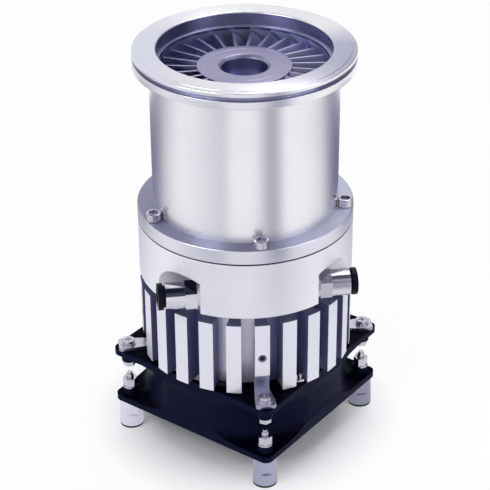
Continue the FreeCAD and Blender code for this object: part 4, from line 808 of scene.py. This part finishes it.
def turned(name: str, profile: Sequence[Point], material: Material, segments: int = 192) -> Object:
    """A turned solid from its closed outline of (radius, height), made by a Geometry Nodes tree.

    Args:
        name: The object's name.
        profile: The outline, in metres.
        material: Its material.
        segments: How many facets go round.

    Returns:
        The finished object.
    """
    mesh = bpy.data.meshes.new(name + "_profile")
    closed = list(profile) + [profile[0]]
    mesh.from_pydata([(radius, 0.0, height) for radius, height in closed], [], [])
    outline = new_object(name + "_profile", mesh)
    tree = Tree(name + "_tree")
    source = tree.ask("Profile", "Object", outline)
    around = tree.ask("Segments", "Int", segments)
    rows = tree.ask("Profile points", "Int", len(closed))
    grid = tree.node("GeometryNodeMeshGrid", Vertices_X=tree.math("ADD", around, 1.0), Vertices_Y=rows)
    index = tree.node("GeometryNodeInputIndex").outputs[0]
    sample = tree.node("GeometryNodeSampleIndex")
    sample.data_type = "FLOAT_VECTOR"
    sample.domain = "POINT"
    tree.links.new(tree.node("GeometryNodeObjectInfo", Object=source).outputs["Geometry"],
                         sample.inputs["Geometry"])
    tree.links.new(tree.node("GeometryNodeInputPosition").outputs[0], sample.inputs["Value"])
    tree.links.new(tree.math("MODULO", index, rows), sample.inputs["Index"])
    angle = tree.math("DIVIDE", tree.math("FLOOR", tree.math("DIVIDE", index, rows), 0.0), around)
    turn = tree.node("ShaderNodeVectorRotate", Vector=sample.outputs[0], Angle=tree.times(angle, math.tau))
    moved = tree.node("GeometryNodeSetPosition", Geometry=grid.outputs["Mesh"], Position=turn.outputs[0])
    merged = tree.node("GeometryNodeMergeByDistance", Geometry=moved.outputs[0], Distance=SAME_PLACE)
    made = tree.bake(name, merged.outputs[0], material)
    bpy.data.objects.remove(outline)
    outward(made)
    smooth(made)
    return made


def outward(piece: Object) -> None:
    """Turn every face outwards and merge what touches.

    Args:
        piece: The object to mend.
    """
    shape = bmesh.new()
    shape.from_mesh(piece.data)
    bmesh.ops.remove_doubles(shape, verts=shape.verts, dist=SAME_PLACE)
    bmesh.ops.recalc_face_normals(shape, faces=shape.faces)
    shape.to_mesh(piece.data)
    shape.free()


def smooth(piece: Object, angle: float = SHARP_ANGLE) -> None:
    """Shade a piece smoothly, but for edges bent by more degrees than the angle."""
    piece.data.shade_smooth()
    piece.data.set_sharp_from_angle(angle=math.radians(angle))


def soften(piece: Object, width: float, segments: int = 2) -> None:
    """Break a piece's sharp edges with a small live bevel.

    Args:
        piece: The object.
        width: The bevel's width in metres.
        segments: How many faces the bevel has.
    """
    bevel = piece.modifiers.new("edges", "BEVEL")
    bevel.width = width
    bevel.segments = segments
    bevel.limit_method = "ANGLE"
    bevel.angle_limit = math.radians(SHARP_ANGLE)
    bevel.harden_normals = True
    bevel.use_clamp_overlap = True
    piece.data.shade_smooth()


def ring_of(name: str, source: Object, count: int, start: float, material: Material) -> Object:
    """Copies of a shape set evenly about the pump's axis, made by a Geometry Nodes tree.

    Args:
        name: The finished object's name.
        source: The shape, in its place at clock angle 0.
        count: How many there are.
        start: The first one's angle in degrees.
        material: Their material.

    Returns:
        The finished object.
    """
    tree = Tree(name + "_tree")
    shape = tree.ask("Shape", "Object", source)
    number = tree.ask("Count", "Int", count)
    first = tree.ask("Start angle", "Float", math.radians(start))
    points = tree.node("GeometryNodePoints", Count=number)
    index = tree.node("GeometryNodeInputIndex").outputs[0]
    step = tree.math("DIVIDE", tree.times(index, math.tau), number)
    turn = tree.node("ShaderNodeCombineXYZ", Z=tree.math("ADD", step, first))
    placed = tree.node("GeometryNodeInstanceOnPoints", Points=points.outputs[0],
                       Instance=tree.node("GeometryNodeObjectInfo", Object=shape).outputs["Geometry"],
                       Rotation=turn.outputs[0])
    made = tree.bake(name, placed.outputs[0], material)
    bpy.data.objects.remove(source)
    return made


def dressed(node: str, finish: str, width: float) -> Object:
    """A copy of a CAD node with merged points, softened edges and its finish.

    Args:
        node: The CAD node.
        finish: The name of its finish.
        width: The width of its softened edges; 0 leaves them sharp.

    Returns:
        The finished piece, which replaces the node.
    """
    mesh = frame["nodes"][node].data.copy()
    shape = bmesh.new()
    shape.from_mesh(mesh)
    if node == "feet":
        front = [point for point in shape.verts if point.co.y < -FRONT_FOOT / 2]
        bmesh.ops.rotate(shape, verts=front, cent=(0.0, -FRONT_FOOT, 0.0),
                         matrix=Matrix.Rotation(math.radians(90.0), 3, "Z"))
    bmesh.ops.remove_doubles(shape, verts=shape.verts, dist=2 * SAME_PLACE)
    bmesh.ops.dissolve_limit(shape, angle_limit=math.radians(FLAT_ANGLE), verts=shape.verts, edges=shape.edges)
    bmesh.ops.triangulate(shape, faces=shape.faces)
    shape.to_mesh(mesh)
    shape.free()
    if mesh.has_custom_normals:
        mesh.attributes.remove(mesh.attributes["custom_normal"])
    mesh.materials.clear()
    mesh.materials.append(material_of(finish))
    piece = new_object(node + "_dressed", mesh)
    if width > 0.0:
        soften(piece, width)
    else:
        smooth(piece)
    return keep(piece, MOVING.get(node, Where.HOUSING), SLOTS[node], node)


@dataclass
class InletCasing:
    """The turned casing with its clamp flange, and the screws that hold it down."""

    body: float = 65.0
    seam: float = 147.2
    top: float = 255.2
    low_flange: float = 9.4
    flange: float = 10.3
    tube: float = 55.6
    bore: float = 52.6
    mouth: float = 51.0
    ledge: float = 49.6
    ledge_drop: float = 8.5
    ledge_thickness: float = 2.0
    rim: float = 2.8
    groove: float = 2.7
    groove_depth: float = 2.5
    face_width: float = 3.0
    face_step: float = 0.3
    edge: float = 0.5
    seam_edge: Point = (0.1, 0.3)
    fillet: float = 0.8
    mouth_edge: float = 0.6
    rounding: float = 0.25
    around: int = 256
    screws: int = 5
    screw_circle: float = 60.3

    def outline(self) -> List[Point]:
        """The casing's outline in metres, with its corners broken."""
        under = self.top - self.flange
        groove_top = self.top - self.rim
        groove_low = groove_top - self.groove
        floor = self.seam + self.low_flange
        ledge_top = self.top - self.ledge_drop
        face = self.body - self.face_width
        step = self.top - self.face_step
        across, up = self.seam_edge
        corners = [
            (self.bore, self.seam), (self.body - across, self.seam), (self.body, self.seam + up),
            (self.body, floor - self.edge), (self.body - self.edge, floor), (self.tube, floor),
            (self.tube, under - self.fillet), (self.tube + self.fillet, under),
            (self.body - self.edge, under), (self.body, under + self.edge), (self.body, groove_low),
            (self.body - self.groove_depth, groove_low), (self.body - self.groove_depth, groove_top),
            (self.body, groove_top), (self.body, step - self.edge), (self.body - self.edge, step), (face, step),
            (face, self.top), (self.mouth + self.mouth_edge, self.top), (self.mouth, self.top - self.mouth_edge),
            (self.mouth, ledge_top), (self.ledge, ledge_top), (self.ledge, ledge_top - self.ledge_thickness),
            (self.bore, ledge_top - self.ledge_thickness)]
        return round_corners(corners, self.rounding)

    def build(self) -> None:
        """Make the casing and its screws."""
        casing = turned("inlet_casing", self.outline(), material_of("polished_aluminium"), self.around)
        keep(casing, Where.HOUSING, "polished_aluminium", "casing")
        screw = SocketScrew(head=4.4, height=5.0, socket=5.4, depth=1.9, shank=2.45, length=18.4)
        seat = Matrix.Translation(Vector((0.0, -self.screw_circle, self.seam + self.low_flange)) * MM)
        for name, made, finish in (("casing_screw_ring", screw.body(), "bright_steel"),
                                   ("casing_screw_sockets", screw.cup(), "socket_steel")):
            made.data.transform(seat)
            ring = ring_of(name, made, self.screws, 0.0, material_of(finish))
            smooth(ring)
            keep(ring, Where.HOUSING, "bright_steel", "casing_screws")


@dataclass
class SocketScrew:
    """A cylinder head screw with a hexagon socket, a knurled head and a chamfered end."""

    head: float
    height: float
    socket: float
    depth: float
    shank: float
    length: float
    ribs: int = 24
    around: int = 96
    edge: float = 0.45
    crown: Point = (0.3, 0.05)
    rib_depth: float = 0.14
    rib_fade: float = 0.2
    foot_edge: Point = (0.25, 0.3)
    end_edge: float = 0.6
    socket_play: float = 0.02
    socket_overlap: float = 0.1
    socket_mouth: Point = (0.25, 0.2)
    cup_wall: float = 0.015
    cup_drop: float = 0.25
    cup_centre: float = 0.3
    cup_floor: Point = (0.05, 0.09)

    def ring(self, radius: float, height: float, hexagon: bool = False, knurl: float = 0.0) -> List[Vector]:
        """One ring of points about the screw's own axis.

        Args:
            radius: The ring's radius, or half its width across flats.
            height: Its height.
            hexagon: Whether it is a hexagon.
            knurl: How deep the knurl's grooves are.

        Returns:
            The points in metres.
        """
        points = []
        for step in range(self.around):
            angle = math.tau * step / self.around
            reach = radius
            if hexagon:
                sector = (angle + math.pi / 6) % (math.pi / 3) - math.pi / 6
                reach = radius / math.cos(sector)
            reach -= knurl * (0.5 - 0.5 * math.cos(angle * self.ribs))
            points.append(Vector((reach * math.cos(angle), reach * math.sin(angle), height)) * MM)
        return points

    def body(self) -> Object:
        """Make the head and the shank about the Z axis, on a seat at height 0, open at the socket's mouth.

        Returns:
            The screw without its socket.
        """
        half = self.socket / 2
        wall = half + self.socket_play
        shoulder = self.height - self.edge
        flat = self.head - self.edge
        rings = [
            self.ring(wall, self.height - self.depth - self.socket_overlap, True),
            self.ring(wall, self.height - self.socket_mouth[1], True),
            self.ring(half + self.socket_mouth[0], self.height, True),
            self.ring(flat - self.crown[0], self.height), self.ring(flat, self.height - self.crown[1]),
            self.ring(self.head, shoulder), self.ring(self.head, shoulder - self.rib_fade, knurl=self.rib_depth),
            self.ring(self.head, self.foot_edge[1] + self.rib_fade, knurl=self.rib_depth),
            self.ring(self.head, self.foot_edge[1]), self.ring(self.head - self.foot_edge[0], 0.0),
            self.ring(self.shank, 0.0), self.ring(self.shank, -self.length + self.end_edge),
            self.ring(self.shank - self.end_edge, -self.length)]
        return from_rings("screw", rings)

    def cup(self) -> Object:
        """Make the socket's wall and floor in the same place.

        Returns:
            The socket.
        """
        outside, inside = self.socket / 2 + self.cup_wall, self.socket / 2 - self.cup_wall
        mouth, floor = self.height - self.cup_drop, self.height - self.depth
        upper, lower = self.cup_floor
        rings = [self.ring(outside, mouth, True), self.ring(inside, mouth, True), self.ring(inside, floor, True),
                 self.ring(self.cup_centre, floor - upper), self.ring(self.cup_centre, floor - lower),
                 self.ring(outside, floor - lower, True)]
        return from_rings("socket", rings + rings[:1], caps=False)


@dataclass
class Rotor:
    """The one-piece bladed rotor: a stepped hub with a drag drum, and four stages of twisted blades."""

    top: float = 243.5
    hubs: Tuple[float, float, float] = (27.7, 30.5, 32.5)
    hub_tops: Tuple[float, float] = (227.4, 213.9)
    tip: float = 48.6
    drum: float = 47.4
    drum_top: float = 194.4
    drum_low: float = 152.0
    drum_wall: float = 3.0
    web: float = 4.0
    bell: float = 22.5
    recess: float = 13.3
    mouth: float = 15.2
    mouth_depth: float = 1.6
    nut_face: float = 222.0
    web_low: float = 212.0
    journal: float = 5.0
    drop: float = 0.4
    heights: Tuple[float, float, float, float] = (8.0, 5.5, 5.0, 4.0)
    tops: Tuple[float, float, float, float] = (243.1, 226.9, 213.4, 200.8)
    counts: Tuple[int, int, int, int] = (27, 27, 24, 24)
    leans: Tuple[float, float, float, float] = (40.0, 32.0, 32.0, 32.0)
    spans: int = 6
    thickness: float = 1.2
    twist: float = 8.0
    taper: float = 0.25
    root_bite: float = 0.8
    sharp_edge: Point = (0.3, 0.15)
    blunt_edge: float = 0.1
    face_line: Tuple[float, float, float] = (7.2, 7.4, 7.6)
    line_depth: float = 0.12
    rounding: float = 0.3
    around: int = 192
    soft_angle: float = 50.0

    def outline(self) -> List[Point]:
        """The hub's outline in metres."""
        inner = self.drum - self.drum_wall
        ceiling = self.drum_top - self.web
        first, second, third = self.hubs
        near, middle, far = (self.mouth + reach for reach in self.face_line)
        corners = [
            (self.journal, self.web_low), (self.bell, self.web_low), (self.bell, ceiling), (inner, ceiling),
            (inner, self.drum_low), (self.drum, self.drum_low), (self.drum, self.drum_top), (third, self.drum_top),
            (third, self.hub_tops[1]), (second, self.hub_tops[1]), (second, self.hub_tops[0]),
            (first, self.hub_tops[0]), (first, self.top), (far, self.top), (middle, self.top - self.line_depth),
            (near, self.top), (self.mouth, self.top),
            (self.recess, self.top - self.mouth_depth), (self.recess, self.nut_face), (self.journal, self.nut_face)]
        return round_corners(corners, self.rounding)

    def vane(self, root: float, height: float, lean: float, top: float) -> Object:
        """One blade at clock angle 0, steeper at its root than at its tip.

        Args:
            root: The distance of its root from the axis.
            height: The stage's height.
            lean: The angle from level at mid-span, in degrees.
            top: The height of its top edge.

        Returns:
            The blade.
        """
        rings = []
        for step in range(self.spans + 1):
            share = step / self.spans
            reach = root + (self.tip - root) * share
            angle = math.radians(lean + self.twist / 2 - self.twist * share)
            run = height / math.tan(angle) / 2
            half = self.thickness * (1.0 - self.taper * share) / math.sin(angle) / 2
            lower = [(-run - half, self.sharp_edge[1]), (-run - half + self.sharp_edge[0], 0.0),
                     (-run + half - self.blunt_edge, 0.0), (-run + half, self.blunt_edge)]
            section = [(across, top - height + up) for across, up in lower]
            section += [(-across, top - up) for across, up in lower]
            rings.append([Vector((across, -reach, up)) * MM for across, up in section])
        return from_rings("vane", rings)

    def build(self) -> None:
        """Make the hub and the four stages."""
        material = material_of("rotor_aluminium")
        hub = turned("rotor_hub", self.outline(), material, self.around)
        keep(hub, Where.ROTOR, "rotor_aluminium", "rotor")
        roots = (self.hubs[0], self.hubs[1], self.hubs[2], self.hubs[2])
        stages = zip(("first", "second", "third", "fourth"), roots, self.heights, self.leans, self.tops, self.counts)
        for order, root, height, lean, top, count in stages:
            blade = self.vane(root - self.root_bite, height, lean, top)
            ring = ring_of("rotor_blades_" + order, blade, count, 0.0, material)
            smooth(ring, self.soft_angle)
            keep(ring, Where.ROTOR, "rotor_aluminium", "rotor")


@dataclass
class Studio:
    """The plain pale studio: camera, lamps, floor, and the tent wall that the metal mirrors."""

    camera_place: Tuple[float, float, float] = (-132.4, -893.7, 642.5)
    camera_aim: Tuple[float, float, float] = (-0.4, 0.06, 123.6)
    lens: float = 125.23
    roll: float = -0.36
    tent_radius: float = 0.20
    low_part: Point = (0.060, 0.075)
    low_share: float = 0.65
    tent_height: float = 0.190
    tent_slope: float = 0.060
    overhead: Point = (0.66, 0.86)
    overhead_low: float = 0.04
    aside: Point = (0.25, 0.75)
    aside_low: float = 0.35
    lamps: Sequence[Tuple[str, float, float, float, float, float]] = (
        ("key", -50.0, 1.1, 1.2, 0.9, 9.0), ("fill", 60.0, 0.9, 1.3, 0.9, 6.0), ("top", 150.0, 1.5, 0.6, 0.8, 8.0))
    lamp_aim: Tuple[float, float, float] = (0.0, 0.0, 0.12)
    lamp_colour: Colour = (0.97, 0.97, 1.0)
    floor_reach: float = 8.0
    floor_colours: Tuple[Colour, Colour] = ((0.93, 0.93, 0.95), (0.91, 0.91, 0.94))
    floor_shadow: Tuple[float, float, float, float] = (0.055, 0.10, 0.0, 0.90)
    floor_mirrored: float = 0.6
    tent_steps: int = 96
    tent_lift: float = 0.002
    tent_low_colour: Colour = (0.86, 0.86, 0.89)
    blueness: float = 0.12
    surround_colour: Colour = (0.93, 0.94, 1.0)
    surround_strength: float = 0.45
    dark_cloth: Colour = (0.12, 0.12, 0.17)
    bands: Sequence[Point] = (
        (-180.0, 0.24), (-150.0, 0.19), (-128.0, 0.20), (-112.0, 0.34), (-98.0, 0.68), (-75.0, 1.0), (-57.0, 0.92),
        (-41.0, 0.80), (-25.0, 0.68), (-19.0, 0.78), (-13.0, 1.0), (-3.0, 1.0), (6.0, 1.0), (13.0, 0.90),
        (20.0, 0.62), (25.0, 0.45), (31.0, 0.43), (37.0, 0.68), (44.0, 1.0), (70.0, 1.0), (80.0, 0.93),
        (92.0, 0.80), (100.0, 0.56), (112.0, 0.28), (125.0, 0.18), (146.0, 0.17), (180.0, 0.24))

    def camera(self) -> None:
        """Set the camera where the photograph was taken from."""
        data = bpy.data.cameras.new("camera")
        data.lens = self.lens
        data.sensor_width = 36.0
        data.sensor_fit = "HORIZONTAL"
        data.clip_start = 0.01
        data.clip_end = 50.0
        place = Vector(self.camera_place) * MM
        aim = Vector(self.camera_aim) * MM
        made = new_object("camera", data)
        made.matrix_world = looking(place, aim) @ Matrix.Rotation(math.radians(self.roll), 4, "Z")
        bpy.context.scene.camera = made

    def lamp(self, name: str, azimuth: float, height: float, distance: float, size: float, power: float) -> None:
        """One soft square lamp that faces the pump.

        Args:
            name: The lamp's name.
            azimuth: Its angle round from the camera, in degrees to the right.
            height: Its height in metres.
            distance: How far it stands from the axis, in metres.
            size: The length of its sides, in metres.
            power: Its power in watts.
        """
        data = bpy.data.lights.new(name, "AREA")
        data.size = size
        data.energy = power
        data.color = self.lamp_colour
        angle = VIEW + math.radians(azimuth)
        place = Vector((math.sin(angle) * distance, -math.cos(angle) * distance, height))
        new_object(name, data).matrix_world = looking(place, Vector(self.lamp_aim))

    def floor(self) -> None:
        """A plain pale floor that shows as white and keeps the pump's shadow."""
        mesh = bpy.data.meshes.new("floor")
        reach = self.floor_reach
        mesh.from_pydata([(-reach, -reach, 0.0), (reach, -reach, 0.0), (reach, reach, 0.0), (-reach, reach, 0.0)],
                         [], [(0, 1, 2, 3)])
        floor = new_object("floor", mesh)
        graph = Graph("floor_white")
        grain = graph.noise(graph.place, scale=3.0)
        plain = graph.node("ShaderNodeBsdfDiffuse", Color=graph.blend(grain, *self.floor_colours))
        rays = graph.nodes.new("ShaderNodeLightPath")
        seen = graph.times(rays.outputs["Is Camera Ray"], graph.between(graph.radius(), *self.floor_shadow))
        share = graph.math("MAXIMUM", seen, graph.times(rays.outputs["Is Glossy Ray"], self.floor_mirrored))
        mesh.materials.append(graph.finish(graph.mixed(share, plain, graph.light("Emission", WHITE))))

    def tent(self) -> None:
        """The tent wall: white cloth with darker gaps, which only the metal's reflections show."""
        low_ring, high_ring = [], []
        for step in range(self.tent_steps):
            angle = math.tau * step / self.tent_steps
            place = Vector((math.sin(VIEW + angle), -math.cos(VIEW + angle), 0.0)) * self.tent_radius
            low_ring.append(place + Vector((0.0, 0.0, self.tent_lift)))
            high_ring.append(place + Vector((0.0, 0.0, self.tent_height + self.tent_slope * math.cos(angle))))
        wall = from_rings("tent_wall", [low_ring, high_ring], caps=False)
        graph = Graph("tent_cloth")
        turn = graph.math("ARCTAN2", graph.aside(), graph.towards())
        ramp = graph.nodes.new("ShaderNodeValToRGB")
        graph.feed(ramp.inputs[0], graph.between(turn, -math.pi, math.pi))
        stops = ramp.color_ramp.elements
        for index, (angle, bright) in enumerate(self.bands):
            place = (angle + 180.0) / 360.0
            stop = stops[index] if index < 2 else stops.new(place)
            stop.position = place
            stop.color = (bright, bright, bright + self.blueness * (1.0 - bright), 1.0)
        low = graph.between(graph.height(), *self.low_part, self.low_share, 0.0)
        glow = graph.light("Emission", graph.blend(low, ramp.outputs[0], self.tent_low_colour))
        wall.data.materials.append(graph.finish(glow))
        wall.visible_camera = wall.visible_diffuse = wall.visible_shadow = wall.visible_transmission = False

    def world(self) -> None:
        """A white surround, dimmer where it lights the pump, and dark overhead where its metal mirrors it."""
        world = bpy.data.worlds.new("surround")
        world.use_nodes = True
        graph = Graph("surround", world)
        rays = graph.nodes.new("ShaderNodeLightPath")
        across, _, up = graph.parts(graph.nodes.new("ShaderNodeTexCoord").outputs["Generated"])
        overhead = graph.between(up, *self.overhead, 1.0, self.overhead_low)
        aside = graph.between(across, *self.aside, 1.0, self.aside_low)
        mirrored = graph.math("MAXIMUM", rays.outputs["Is Glossy Ray"], rays.outputs["Is Transmission Ray"])
        light = graph.light("Background", self.surround_colour, self.surround_strength)
        cloth = graph.light("Background", graph.blend(graph.times(overhead, aside), self.dark_cloth, WHITE))
        lit = graph.mixed(mirrored, light, cloth)
        graph.finish(graph.mixed(rays.outputs["Is Camera Ray"], lit, graph.light("Background", WHITE)))
        bpy.context.scene.world = world

    def build(self) -> None:
        """Set up the whole studio."""
        self.camera()
        self.floor()
        self.tent()
        self.world()
        for lamp in self.lamps:
            self.lamp(*lamp)
        bpy.context.scene.view_settings.view_transform = "Standard"


DRESSED: List[Tuple[str, str, float]] = [
    ("base_housing", "ring_aluminium", 0.0),
    ("finned_cooler", "dark_anodised", 0.0),
    ("bottom_cover", "satin_aluminium", 0.0),
    ("foreline_port", "satin_aluminium", 0.2),
    ("connector_shell", "nickel", 0.0),
    ("coolant_fitting_left", "fitting_nickel", 0.0),
    ("coolant_fitting_right", "fitting_nickel", 0.0),
    ("release_collar_left", "black_plastic", 0.4),
    ("release_collar_right", "black_plastic", 0.4),
    ("fan_frame", "fan_black", 0.0),
    ("fan_impeller", "black_plastic", 0.0),
    ("bracket_front", "bracket_steel", 0.0),
    ("bracket_right", "bracket_steel", 0.0),
    ("bracket_rear", "bracket_steel", 0.0),
    ("bracket_left", "bracket_steel", 0.0),
    ("bracket_fin_screws", "fin_screw_steel", 0.1),
    ("bracket_foot_screws", "bright_steel", 0.1),
    ("bracket_foot_washers", "bright_steel", 0.0),
    ("bracket_foot_nuts", "bright_steel", 0.0),
    ("feet", "foot_aluminium", 0.0),
    ("foot_pads", "seal_rubber", 0.2),
    ("foot_studs", "bright_steel", 0.1),
    ("foot_nuts", "bright_steel", 0.2),
    ("foot_washers", "bright_steel", 0.1),
]
MOVING: Dict[str, Where] = {
    "release_collar_left": Where.LEFT_COLLAR, "release_collar_right": Where.RIGHT_COLLAR, "fan_impeller": Where.FAN}
INNER: Dict[str, str] = {
    "spacer_rings": "stack_aluminium", "drag_stator": "stack_aluminium", "stator_disc_1": "stack_aluminium",
    "stator_disc_2": "stack_aluminium", "stator_disc_3": "stack_aluminium"}


def dress_the_rest() -> None:
    """Give every CAD node that is still showing the finish of its slot, or one of its own."""
    for name, shown in frame["nodes"].items():
        if not shown.hide_render:
            for index in range(len(shown.data.materials)):
                shown.data.materials[index] = material_of(INNER.get(name, SLOTS[name]))


def main() -> None:
    """Build the pump's looks and the studio, and note the sizes."""
    logging.basicConfig(level=logging.INFO, format="%(message)s")
    InletCasing().build()
    Rotor().build()
    for node, finish, width in DRESSED:
        dressed(node, finish, width * MM)
    dress_the_rest()
    Studio().build()


if __name__ == "__main__":
    main()
